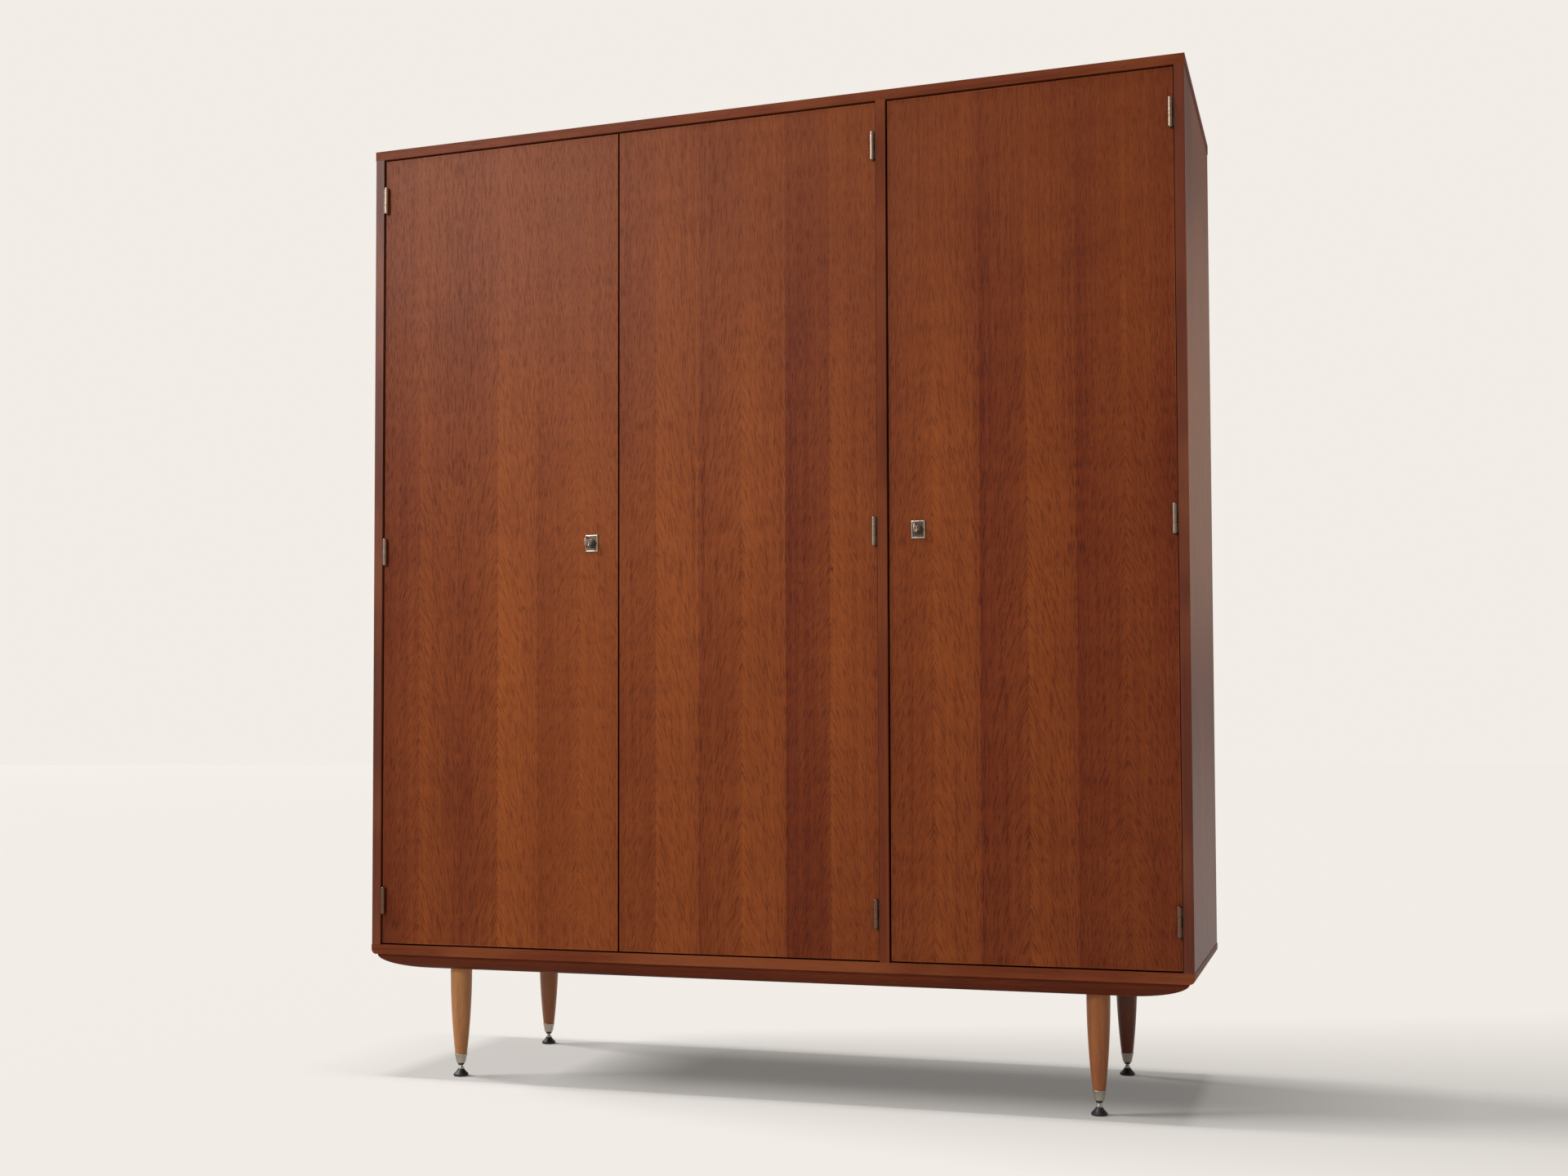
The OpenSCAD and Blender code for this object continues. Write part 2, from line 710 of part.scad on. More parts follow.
// Ring bow in the upright plane, round shaft and a bit that hangs down
module key() {
    tip_y = door_back_y + bit_y1;
    collar_y1 = door_y - plate_t - boss_h - 0.6;
    bow_y = door_y - key_reach + bow_r;
    rod_y(0, key_z, bow_y + bow_hole_r + 1.5, tip_y, key_shaft_r);
    difference() {
        rod_x(bow_y, key_z, -bow_t / 2, bow_t / 2, bow_r);
        rod_x(bow_y, key_z, -bow_t, bow_t, bow_hole_r);
    }
    rod_y(0, key_z, collar_y1 - collar_l, collar_y1, collar_r);
    box([-bit_t / 2, door_back_y + bit_y0, key_z - bit_r], [bit_t / 2, tip_y, key_z]);
}

module left_lock_case() color("#a59f94") at_lock(left_key_x, 1) lock_case();
module right_lock_case() color("#a59f94") at_lock(right_key_x, -1) lock_case();
module left_lock_bolt() color("#b59a55") at_lock(left_key_x, 1) lock_bolt();
module right_lock_bolt() color("#b59a55") at_lock(right_key_x, -1) lock_bolt();
module left_key_plate() color("#cdc9c0") at_lock(left_key_x, 1) key_plate();
module right_key_plate() color("#cdc9c0") at_lock(right_key_x, -1) key_plate();
module left_key() color("#c9c4b8") at_lock(left_key_x, 1) key();
module right_key() color("#c9c4b8") at_lock(right_key_x, -1) key();

// Box on the middle door that takes the left lock's bolt
module lock_keeper() color("#a59f94") {
    x0 = middle_door_x + keeper_in;
    difference() {
        box([x0, door_back_y, key_z - keeper_h / 2],
            [x0 + keeper_w, door_back_y + case_t, key_z + keeper_h / 2]);
        box([x0 - eps, door_back_y + bolt_y0 - pocket_clear, key_z - bolt_h / 2 - pocket_clear],
            [x0 + keeper_w - keeper_wall, door_back_y + bolt_y0 + bolt_t + pocket_clear,
             key_z + bolt_h / 2 + pocket_clear]);
    }
}

// --- Top and bottom bolts of the middle door ------------------------------

// Drawn for the top bolt: its tip is at z = 0 and it slides upwards
module door_bolt() {
    translate([0, 0, -door_bolt_l]) cylinder(h = door_bolt_l, r = door_bolt_r, $fn = 48);
    rod_y(0, knob_z, 0, knob_out, knob_r);
}

module bolt_guide() {
    plate_y = -(door_bolt_y - door_back_y);
    box([-guide_w / 2, plate_y, guide_z0], [guide_w / 2, plate_y + guide_t, guide_z1]);
    for (z = LOOP_ZS) difference() {
        box([-loop_w / 2, plate_y, z], [loop_w / 2, loop_y, z + loop_h]);
        translate([0, 0, z - 1]) cylinder(h = loop_h + 2, r = door_bolt_r + 0.06, $fn = 48);
    }
}

module at_top_bolt()
    translate([door_bolt_x, door_bolt_y, door_z + door_h - bolt_tip_gap]) children();

module at_bottom_bolt()
    translate([door_bolt_x, door_bolt_y, door_z + bolt_tip_gap]) mirror([0, 0, 1]) children();

module top_door_bolt() color("#b9b5ad") at_top_bolt() door_bolt();
module bottom_door_bolt() color("#b9b5ad") at_bottom_bolt() door_bolt();

module door_bolt_guides() color("#a59f94") {
    at_top_bolt() bolt_guide();
    at_bottom_bolt() bolt_guide();
}

// --- Output ---------------------------------------------------------------

top_panel();
left_side_panel();
right_side_panel();
divider_panel();
bottom_board();
base_front_rail();
base_back_rail();
base_left_rail();
base_right_rail();
back_panel_left();
back_panel_right();
back_panel_screws();
hat_shelf();
hat_shelf_cleats();
clothes_rail();
rail_sockets();
shelf_1();
shelf_2();
shelf_3();
shelf_4();
shelf_pins();
leg_front_left();
leg_front_right();
leg_back_left();
leg_back_right();
leg_studs();
leg_ferrules();
leg_bushings();
frame_hinge_leaves();
frame_hinge_screws();
strike_plate();
door_stops();
left_door_panel();
left_door_hinge_leaves();
left_door_hinge_pins();
left_door_screws();
left_lock_case();
left_key_plate();
middle_door_panel();
middle_door_hinge_leaves();
middle_door_hinge_pins();
middle_door_screws();
lock_keeper();
door_bolt_guides();
right_door_panel();
right_door_hinge_leaves();
right_door_hinge_pins();
right_door_screws();
right_lock_case();
right_key_plate();
left_key();
right_key();
left_lock_bolt();
right_lock_bolt();
top_door_bolt();
bottom_door_bolt();
foot_front_left();
foot_front_right();
foot_back_left();
foot_back_right();
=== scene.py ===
"""Looks for the three-door wardrobe: veneer, nickel hardware, turned legs and studio light."""

import math

import bmesh
import bpy
from mathutils import Matrix, Vector


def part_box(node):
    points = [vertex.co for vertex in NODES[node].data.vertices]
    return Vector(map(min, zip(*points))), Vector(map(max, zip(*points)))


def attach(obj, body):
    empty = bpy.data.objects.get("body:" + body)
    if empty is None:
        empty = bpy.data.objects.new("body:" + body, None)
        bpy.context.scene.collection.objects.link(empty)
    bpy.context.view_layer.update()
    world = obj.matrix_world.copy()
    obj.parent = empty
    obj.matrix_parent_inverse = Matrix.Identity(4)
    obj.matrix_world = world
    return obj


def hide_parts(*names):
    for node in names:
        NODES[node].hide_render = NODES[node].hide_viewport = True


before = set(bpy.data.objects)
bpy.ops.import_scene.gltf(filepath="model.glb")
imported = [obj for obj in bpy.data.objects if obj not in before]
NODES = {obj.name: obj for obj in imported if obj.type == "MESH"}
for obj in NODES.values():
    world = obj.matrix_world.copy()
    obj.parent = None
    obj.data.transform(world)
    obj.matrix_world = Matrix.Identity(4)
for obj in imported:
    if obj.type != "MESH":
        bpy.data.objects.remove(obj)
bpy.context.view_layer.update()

MM = 0.001

# Camera, from the middle of the carcass's front edge on the floor, in metres and degrees
CAMERA_RIGHT = 1.067
CAMERA_BACK = 3.064
CAMERA_HEIGHT = 0.646
CAMERA_YAW = 18.12
CAMERA_PITCH = 2.16
CAMERA_ROLL = 0.18
CAMERA_LENS = 40.14
CAMERA_SHIFT = 0.06

# Studio: the backdrop's colour, and how strongly it lights the room
BACKDROP = (0.888, 0.847, 0.799)
ROOM_LEVEL = 0.42
# The lamps that light the wardrobe: strengths, and directions and spreads in degrees
SIDE_SUN = 3.9
SIDE_SUN_HEIGHT = 55
SIDE_SUN_TURN = 7
SIDE_SUN_SPREAD = 37
# A weak warm sun from behind, on the right: its sheen is what the right panel shows near its top
BACK_SUN = 0.09
BACK_SUN_HEIGHT = 10
BACK_SUN_TURN = 265.4
BACK_SUN_SPREAD = 14
BACK_SUN_TINT = (1.0, 0.64, 0.42)
SUN_DISTANCE = 4.0
KEY_POWER = 142
KEY_PLACE = (-2.9, -4.3, 3.3)
KEY_AIM = (-0.1, -0.2, 1.0)
KEY_SIZE = (1.1, 0.9)
# The floor: parts of its brightness from its own glow and from the room, then from each lamp
FLOOR_GLOW = 0.19
FLOOR_ROOM = 0.064
# Each floor lamp: height and turn of its direction, half its width and height, and its part
FLOOR_LAMPS = {
    "low_panel": (28.8, 4.0, 18.4, 7.1, 0.460),
    "high_strip": (86.3, 1.9, 1.29, 10.1, 0.286),
}
FLOOR_LAMP_DISTANCE = 1500.0
FLOOR_HALF = 60.0

# Veneer: lengths in metres, colours as linear RGB
LEAF_WIDTH = 0.0862
FLECK_SLOPES = (0.40, 0.21, 0.05)
FLECK_WIDTH = 0.0018
FLECK_LENGTH = 0.024
VENEER_DARK = (0.118, 0.0175, 0.0030)
VENEER_LIGHT = (0.30, 0.076, 0.0125)
# Painted sheen: the doors' upper part turns mauve and less orange, standing in for a reflection
VENEER_TOP_PAINTED_SHEEN = (0.86, 0.90, 1.02)
# Painted shade: the doors darken towards their foot, where the light falls off
VENEER_FOOT_PAINTED_SHADE = (0.80, 0.78, 0.85)
FLECK_TINT = (0.50, 0.40, 0.36)
PORE_TINT = (0.40, 0.32, 0.30)
KNOT_COLOUR = (0.050, 0.013, 0.006)
LIPPING_WEAR = (0.27, 0.085, 0.028)
# Painted shade on the doors' side faces, so the gaps between doors and panels look dark
GAP_PAINTED_SHADE = (0.060, 0.008, 0.0045)
# Each door: its first leaf's width, how light each leaf is from the left, and its noise offset
DOOR_LEAVES = {
    "left_door_panel": (0.080, (0.22, 0.38, 0.33, 0.62, 0.46, 0.54), 0.0),
    "middle_door_panel": (0.075, (0.36, 0.58, 0.36, 0.52, 0.16, 0.44), 3.0),
    # The right door's leaves are darker overall: partly their own tone, partly painted shade as the
    # light falls off to the right
    "right_door_panel": (0.080, (0.32, 0.44, 0.18, 0.36, 0.16, 0.22), 6.0),
}
# How far below a door's top its leaves begin to look alike, and where that is complete
EVEN_FROM, EVEN_TO = 0.75, 0.1
# Every wood's gloss
SHEEN_IOR = 1.5
SHEEN_ROUGH = 0.36

# Other woods, each as a dark and a light tone
RED_DARK, RED_LIGHT = (0.074, 0.0135, 0.0045), (0.168, 0.037, 0.0120)
# Painted shade on the side panels' front edges, taking back the sheen of their gloss
SIDE_FRONT_PAINTED_SHADE = (0.76, 0.57, 0.38)
# The base rails' tones are the wood darkened with painted shade, as they lie under the bottom board
BASE_SHADED_DARK, BASE_SHADED_LIGHT = (0.062, 0.0110, 0.0035), (0.120, 0.0240, 0.0070)
INSIDE_DARK, INSIDE_LIGHT = (0.20, 0.085, 0.040), (0.34, 0.165, 0.085)
PLY_DARK, PLY_LIGHT = (0.30, 0.175, 0.092), (0.47, 0.30, 0.17)
LEG_DARK, LEG_LIGHT = (0.27, 0.098, 0.028), (0.50, 0.22, 0.070)
# Each leg's tint is mostly painted shade: the back legs, most of all the back right, stand in
# shadow
LEG_PAINTED_SHADE = {"front_left": (0.90, 0.91, 0.92), "front_right": (0.65, 0.48, 0.36),
             "back_left": (0.66, 0.56, 0.62), "back_right": (0.29, 0.16, 0.13)}

# Metal: the hinges turn darker and browner below this height, and the brown fades out above it
LOW_DOWN_BROWN = (0.150, 0.068, 0.044)
BROWNED_BELOW = 0.55
BROWNED_FADE = 0.3
# Painted shade on the hinge leaves behind the pins, and how quickly it sets in
PIN_PAINTED_SHADE = (0.035, 0.022, 0.015)
PIN_SHADE_FADE = 0.7 * MM


# --- Node helpers ----------------------------------------------------------

class Shader:
    """Builds one material's nodes; the methods that make a field return its output socket."""

    def __init__(self, name):
        self.material = bpy.data.materials.new(name)
        self.material.use_nodes = True
        self.tree = self.material.node_tree
        self.tree.nodes.clear()
        out = self.add("ShaderNodeOutputMaterial")
        self.bsdf = self.add("ShaderNodeBsdfPrincipled")
        self.link(self.bsdf.outputs[0], out.inputs[0])

    def add(self, kind, **settings):
        node = self.tree.nodes.new(kind)
        for key, value in settings.items():
            setattr(node, key, value)
        return node

    def link(self, source, target):
        self.tree.links.new(source, target)

    def feed(self, socket, value):
        """Links a socket or sets a value, with the alpha that a colour leaves out."""
        if isinstance(value, bpy.types.NodeSocket):
            self.link(value, socket)
        elif isinstance(value, (tuple, list, Vector)):
            socket.default_value = list(value) + [1.0] * (len(socket.default_value) - len(value))
        else:
            socket.default_value = value

    def math(self, operation, a, b=0.0, clamp=False):
        node = self.add("ShaderNodeMath", operation=operation, use_clamp=clamp)
        for socket, value in zip(node.inputs, (a, b)):
            self.feed(socket, value)
        return node.outputs[0]

    def times(self, a, b):
        return self.math("MULTIPLY", a, b)

    def over(self, a, b):
        return self.math("DIVIDE", a, b)

    def plus(self, a, b, clamp=False):
        return self.math("ADD", a, b, clamp=clamp)

    def minus(self, a, b, clamp=False):
        return self.math("SUBTRACT", a, b, clamp=clamp)

    def sway(self, field, amount):
        """A field from 0 to 1 turned into a swing of half the amount either way."""
        return self.times(self.minus(field, 0.5), amount)

    def place(self):
        """The object's own X, Y and Z, which are the row frame's, in metres."""
        if not hasattr(self, "_place"):
            coords = self.add("ShaderNodeTexCoord")
            split = self.add("ShaderNodeSeparateXYZ")
            self.link(coords.outputs["Object"], split.inputs[0])
            self._place = tuple(split.outputs)
        return self._place

    def facing(self, axis):
        """1 on faces that look along an axis or against it, otherwise 0."""
        if not hasattr(self, "_normal"):
            split = self.add("ShaderNodeSeparateXYZ")
            self.link(self.add("ShaderNodeNewGeometry").outputs["Normal"], split.inputs[0])
            self._normal = tuple(split.outputs)
        return self.spread(self.math("ABSOLUTE", self._normal[axis]), 0.75, 0.95)

    def vector(self, x, y, z):
        node = self.add("ShaderNodeCombineXYZ")
        for socket, value in zip(node.inputs, (x, y, z)):
            self.feed(socket, value)
        return node.outputs[0]

    def noise(self, vector, scale=1.0, detail=2.0, rough=0.5, distortion=0.0):
        node = self.add("ShaderNodeTexNoise", noise_dimensions="3D")
        self.feed(node.inputs["Vector"], vector)
        node.inputs["Scale"].default_value = scale
        node.inputs["Detail"].default_value = detail
        node.inputs["Roughness"].default_value = rough
        node.inputs["Distortion"].default_value = distortion
        return node.outputs["Fac"]

    def spread(self, value, low, high, to_low=0.0, to_high=1.0):
        """Maps a range smoothly to another, and holds its ends outside it."""
        node = self.add("ShaderNodeMapRange", clamp=True, interpolation_type="SMOOTHSTEP")
        for socket, v in zip(node.inputs, (value, low, high, to_low, to_high)):
            self.feed(socket, v)
        return node.outputs[0]

    def steps(self, value, levels):
        """A staircase of levels, one for each equal part of 0 to 1."""
        node = self.add("ShaderNodeValToRGB")
        ramp = node.color_ramp
        ramp.interpolation = "CONSTANT"
        for i, level in enumerate(levels):
            stop = ramp.elements[i] if i < 2 else ramp.elements.new(0.999)
            stop.position = max(0.0, (i - 0.5) / len(levels))
            stop.color = (level, level, level, 1.0)
        self.feed(node.inputs[0], value)
        return self.red_of(node.outputs[0])

    def number_mix(self, factor, a, b):
        node = self.add("ShaderNodeMix", data_type="FLOAT")
        for socket, value in zip(node.inputs[:1] + node.inputs[2:4], (factor, a, b)):
            self.feed(socket, value)
        return node.outputs[0]

    def red_of(self, colour):
        node = self.add("ShaderNodeSeparateColor")
        self.link(colour, node.inputs[0])
        return node.outputs[0]

    def mix(self, factor, a, b, blend="MIX"):
        node = self.add("ShaderNodeMix", data_type="RGBA", blend_type=blend)
        self.feed(node.inputs["Factor"], factor)
        self.feed(node.inputs[6], a)
        self.feed(node.inputs[7], b)
        return node.outputs[2]

    def stain(self, factor, colour, tint):
        """Multiplies a colour by a tint as far as the factor says."""
        return self.mix(factor, colour, self.mix(1.0, colour, tint, "MULTIPLY"))

    def bump(self, height, distance, strength):
        node = self.add("ShaderNodeBump")
        node.inputs["Strength"].default_value = strength
        node.inputs["Distance"].default_value = distance
        self.feed(node.inputs["Height"], height)
        return node.outputs[0]

    def set(self, **values):
        """Sets Principled inputs by name, with underscores for spaces."""
        for key, value in values.items():
            self.feed(self.bsdf.inputs[key.replace("_", " ")], value)


def near_edge(shader, box, axes, width):
    """1 close to the box's edges that run across the given axes, fading to 0 inwards."""
    place = shader.place()
    nearest = None
    for axis in axes:
        mid = (box[0][axis] + box[1][axis]) / 2
        half = (box[1][axis] - box[0][axis]) / 2
        away = shader.minus(half, shader.math("ABSOLUTE", shader.minus(place[axis], mid)))
        nearest = away if nearest is None else shader.math("MINIMUM", nearest, away)
    return shader.spread(nearest, 0.0, width, 1.0, 0.0)


# --- Wood -------------------------------------------------------------------

def leaf_veneer(name, box, first, tones, seed):
    """Upright book-matched leaves for a door: flecks slant away from every second joint."""
    s = Shader(name)
    x, y, z = s.place()
    foot_z, top_z = box[0][2], box[1][2]
    across = s.minus(x, box[0][0])
    from_joint = s.minus(across, first)
    leaf = s.plus(s.math("FLOOR", s.over(from_joint, LEAF_WIDTH)), 1.0)
    mirrored = s.math("PINGPONG", from_joint, LEAF_WIDTH)
    # Each leaf is cut a little deeper than the one before
    leaf_thickness = 0.0021
    depth = s.plus(s.times(leaf, leaf_thickness), s.plus(y, seed))
    fleck = slanted_flecks(s, mirrored, z, depth, top_z)

    def field(around, scales, **look):
        return s.noise(s.vector(*[s.times(p, k) for p, k in zip(around, scales)]), **look)

    streaks = field((mirrored, depth, z), (95, 40, 1.1), detail=4.0, rough=0.6, distortion=0.25)
    ripple = field((across, depth, z), (9, 9, 26), detail=3.0, rough=0.6)
    clouds = field((across, depth, z), (6, 9, 2.4), detail=3.0)
    pore_width, pore_length = 0.40 * MM, 6.0 * MM
    pores = s.noise(s.vector(s.over(mirrored, pore_width), s.times(y, 300), s.over(z, pore_length)),
                    detail=2.0, rough=0.7)
    pore = s.spread(pores, 0.58, 0.72)

    leaf_tone = s.steps(s.over(leaf, len(tones)), tones)
    across_leaf = 0.20
    tone = s.plus(leaf_tone, s.times(s.minus(0.5, s.over(mirrored, LEAF_WIDTH)), across_leaf))
    even = s.spread(z, top_z - EVEN_FROM, top_z - EVEN_TO, 0.0, 0.6)
    tone = s.number_mix(even, tone, sum(tones) / len(tones))
    for part, amount in ((streaks, 0.55), (clouds, 0.45), (ripple, 0.30)):
        tone = s.plus(tone, s.sway(part, amount))
    colour = s.mix(s.math("MAXIMUM", s.math("MINIMUM", tone, 1.0), 0.0), VENEER_DARK, VENEER_LIGHT)
    middle_z = (foot_z + top_z) / 2
    # Painted sheen towards the door's top
    colour = s.stain(s.spread(z, middle_z + 0.15, top_z, 0.0, 0.55), colour, VENEER_TOP_PAINTED_SHEEN)
    # Painted shade towards the door's foot
    colour = s.stain(s.spread(z, middle_z - 0.1, foot_z, 0.0, 0.45), colour, VENEER_FOOT_PAINTED_SHADE)
    strength = s.times(s.spread(leaf_tone, 0.15, 0.55, 0.88, 0.74),
                       s.spread(z, top_z - EVEN_FROM, top_z - EVEN_TO, 1.0, 0.62))
    colour = s.stain(s.times(fleck, strength), colour, FLECK_TINT)
    colour = s.stain(s.times(pore, 0.30), colour, PORE_TINT)
    colour = s.mix(pin_knots(s, across, z, seed), colour, KNOT_COLOUR)
    worn = near_edge(s, box, (0, 2), 3.5 * MM)
    colour = s.mix(s.times(worn, s.spread(clouds, 0.4, 0.7, 0.05, 0.35)), colour, LIPPING_WEAR)
    # Painted shade on the side faces, which darkens the gaps
    colour = s.mix(s.times(s.facing(0), 0.85), colour, GAP_PAINTED_SHADE)
    s.set(Base_Color=colour, Specular_IOR_Level=0.10, IOR=SHEEN_IOR, Coat_Weight=0.04,
          Coat_Roughness=SHEEN_ROUGH, Coat_IOR=SHEEN_IOR)
    s.set(Roughness=s.plus(s.spread(fleck, 0.0, 1.0, 0.42, 0.54), s.times(clouds, 0.08)))
    s.set(Normal=s.bump(s.plus(s.times(fleck, -0.7), s.times(pore, -1.0)), 0.10 * MM, 0.5))
    return s.material


def slanted_flecks(s, mirrored, z, depth, top_z):
    """Short dark strokes that lean most beside an arrow joint and stand upright far from it."""
    leaning, half_leaning, standing = [
        s.noise(s.vector(s.over(s.plus(mirrored, s.times(z, slope)), FLECK_WIDTH),
                         s.times(depth, 90), s.over(z, FLECK_LENGTH)), detail=2.0, rough=0.6)
        for slope in FLECK_SLOPES]
    # From 0 at the joint to 2 on the far side of the leaf, and higher near the door's top
    turned_up = s.times(s.plus(s.over(mirrored, LEAF_WIDTH),
                               s.spread(z, top_z - 0.85, top_z - 0.15, 0.0, 0.75)), 2.0)
    blend = s.number_mix(s.math("MINIMUM", turned_up, 1.0), leaning, half_leaning)
    blend = s.number_mix(s.minus(turned_up, 1.0, clamp=True), blend, standing)
    return s.spread(blend, 0.48, 0.62)


def pin_knots(s, across, z, seed):
    """A few small dark knots, at most one to a cell."""
    node = s.add("ShaderNodeTexVoronoi", voronoi_dimensions="2D", feature="F1")
    cells_across, cells_up = 5.0, 2.75
    empty_share = 0.86
    s.feed(node.inputs["Vector"], s.vector(s.times(across, cells_across),
                                           s.times(s.plus(z, seed), cells_up), 0.0))
    node.inputs["Scale"].default_value = 1.0
    draw = s.math("FRACT", s.times(s.red_of(node.outputs["Color"]), 7.31))
    return s.times(s.spread(node.outputs["Distance"], 0.004, 0.018, 0.7, 0.0),
                   s.math("GREATER_THAN", draw, empty_share))


def plain_wood(name, along, dark, light, seed=0.0, box=None, gloss=0.44, contrast=1.0,
               spread_mm=14.0, edge=None, shine=0.12, front_shade=None):
    """Straight-grained wood whose grain runs along one axis: 0, 1 or 2.

    Faces that look forwards or back are darkened by the front colour: painted shade. The
    edge colour shows where edges of the box are worn.
    """
    s = Shader(name)
    stretch = [1.0, 1.0, 1.0]
    stretch[along] = 0.035
    shifted = [s.plus(p, seed) for p in s.place()]

    def grain(pitch_mm, detail, rough, distortion=0.0, along_factor=1.0):
        size = 1000.0 / pitch_mm
        scaled = [s.times(p, size * (k if k == 1.0 else k * along_factor))
                  for p, k in zip(shifted, stretch)]
        return s.noise(s.vector(*scaled), detail=detail, rough=rough, distortion=distortion)

    bands = grain(spread_mm, 3.0, 0.55, 0.35, 0.55)
    fibres = grain(1.3, 3.0, 0.62, 0.0, 1.0)
    pores = s.spread(grain(0.42, 2.0, 0.7, 0.0, 1.6), 0.60, 0.73)
    clouds = s.noise(s.vector(*shifted), scale=4.0, detail=2.0)
    tone = s.plus(s.sway(bands, 1.5 * contrast), 0.5)
    tone = s.plus(tone, s.sway(clouds, 0.8), clamp=True)
    colour = s.mix(tone, dark, light)
    fibre_part = 0.45 * contrast
    colour = s.stain(s.spread(fibres, 0.34, 0.66, 0.0, fibre_part), colour, (1.35, 1.33, 1.30))
    colour = s.stain(s.spread(fibres, 0.50, 0.34, 0.0, fibre_part), colour, (0.64, 0.58, 0.55))
    colour = s.stain(s.times(pores, 0.40), colour, (0.35, 0.30, 0.28))
    # Painted shade on faces that look forwards or back
    if front_shade:
        colour = s.stain(s.facing(1), colour, front_shade)
    if box and edge:
        worn = near_edge(s, box, [a for a in (0, 1, 2) if a != along], 3.0 * MM)
        colour = s.mix(s.times(worn, s.spread(clouds, 0.42, 0.7, 0.05, 0.35)), colour, edge)
    s.set(Base_Color=colour, Specular_IOR_Level=shine, IOR=SHEEN_IOR, Coat_Weight=shine * 0.4,
          Coat_Roughness=SHEEN_ROUGH, Coat_IOR=SHEEN_IOR)
    s.set(Roughness=s.plus(s.spread(fibres, 0.3, 0.7, gloss + 0.05, gloss - 0.04),
                           s.times(clouds, 0.08)))
    s.set(Normal=s.bump(s.minus(fibres, pores), 0.10 * MM, 0.5))
    return s.material


# --- Metal and plastic -------------------------------------------------------

def metal(name, colour, rough, brushed=None, tarnish=(0.25, 0.20, 0.14), dirt=0.25,
          pin_shade_from=None, browned_below=None):
    """Plated metal with fine scratches, a little tarnish and, if brushed, lines along an axis.

    Where it lies further back than the given depth it is darkened with painted shade. Lower
    than browned_below it turns darker and browner.
    """
    s = Shader(name)
    place = s.place()
    spots = s.noise(s.vector(*place), scale=420.0, detail=4.0, rough=0.65)
    film = s.noise(s.vector(*place), scale=70.0, detail=3.0)
    scratches, fine_lines, long_lines = 900.0, 1980.0, 40.0
    size = [scratches] * 3 if brushed is None else [fine_lines] * 3
    if brushed is not None:
        size[brushed] = long_lines
    lines = s.noise(s.vector(*[s.times(p, v) for p, v in zip(place, size)]), detail=3.0, rough=0.7)
    age = s.times(s.spread(spots, 0.35, 0.75), s.spread(film, 0.35, 0.66, 0.25, 1.0))
    plating = s.mix(s.times(age, dirt), colour, tarnish)
    if browned_below is not None:
        low_down = s.spread(place[2], browned_below, browned_below + BROWNED_FADE, 0.85, 0.0)
        plating = s.mix(low_down, plating, LOW_DOWN_BROWN)
    if pin_shade_from is not None:
        # Painted shade behind the pins
        behind = s.spread(place[1], pin_shade_from, pin_shade_from + PIN_SHADE_FADE, 0.0, 0.85)
        plating = s.mix(behind, plating, PIN_PAINTED_SHADE)
    s.set(Base_Color=plating, Metallic=1.0)
    s.set(Roughness=s.plus(s.spread(lines, 0.3, 0.7, rough * 0.75, rough * 1.3),
                           s.times(age, 0.22)))
    s.set(Normal=s.bump(lines, 0.03 * MM, 0.35))
    return s.material


def black_plastic(name):
    """Moulded plastic with a fine grain, dust and rubbed high spots."""
    s = Shader(name)
    place = s.vector(*s.place())
    grain = s.noise(place, scale=1800.0, detail=2.0)
    dust = s.noise(place, scale=90.0, detail=4.0, rough=0.6)
    s.set(Base_Color=s.mix(s.spread(dust, 0.5, 0.8, 0.0, 0.5), (0.010, 0.009, 0.009),
                           (0.045, 0.042, 0.038)), Specular_IOR_Level=0.45)
    s.set(Roughness=s.spread(dust, 0.3, 0.75, 0.33, 0.55))
    s.set(Normal=s.bump(grain, 0.06 * MM, 0.4))
    return s.material


# --- Mesh helpers ---------------------------------------------------------------

def finish_piece(name, bm, material, body, smooth_angle=35):
    """Turns a mesh being built into a piece that rides on a body and takes a material's slot."""
    bmesh.ops.remove_doubles(bm, verts=bm.verts, dist=1e-7)
    bmesh.ops.recalc_face_normals(bm, faces=bm.faces)
    mesh = bpy.data.meshes.new(name)
    bm.to_mesh(mesh)
    bm.free()
    mesh.polygons.foreach_set("use_smooth", [True] * len(mesh.polygons))
    mesh.set_sharp_from_angle(angle=math.radians(smooth_angle))
    piece = bpy.data.objects.new(name, mesh)
    bpy.context.collection.objects.link(piece)
    mesh.materials.append(material)
    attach(piece, body)
    return piece


def revolve(bm, profile, matrix, steps=72):
    """Turns a list of (radius, height) points about the matrix's Z axis."""
    rings = []
    for radius, height in profile:
        if radius < 1e-9:
            rings.append([bm.verts.new(matrix @ Vector((0, 0, height)))])
            continue
        rings.append([bm.verts.new(matrix @ Vector((
            radius * math.cos(math.tau * i / steps), radius * math.sin(math.tau * i / steps),
            height))) for i in range(steps)])
    for low, high in zip(rings, rings[1:]):
        for i in range(steps):
            j = (i + 1) % steps
            corners = (low[i % len(low)], low[j % len(low)],
                       high[j % len(high)], high[i % len(high)])
            unique = list(dict.fromkeys(corners))
            if len(unique) > 2:
                bm.faces.new(unique)


def bridge(bm, first, second):
    """Joins two rings that have equally many vertices with a band of faces."""
    for i in range(len(first)):
        j = (i + 1) % len(first)
        bm.faces.new((first[i], first[j], second[j], second[i]))


def arc(centre, radii, start, end, steps):
    """Points on an ellipse's arc in the (radius, height) plane, angles in degrees."""
    return [(centre[0] + radii[0] * math.cos(math.radians(start + (end - start) * i / steps)),
             centre[1] + radii[1] * math.sin(math.radians(start + (end - start) * i / steps)))
            for i in range(steps + 1)]


def upright(x, y, z=0.0):
    return Matrix.Translation((x, y, z))


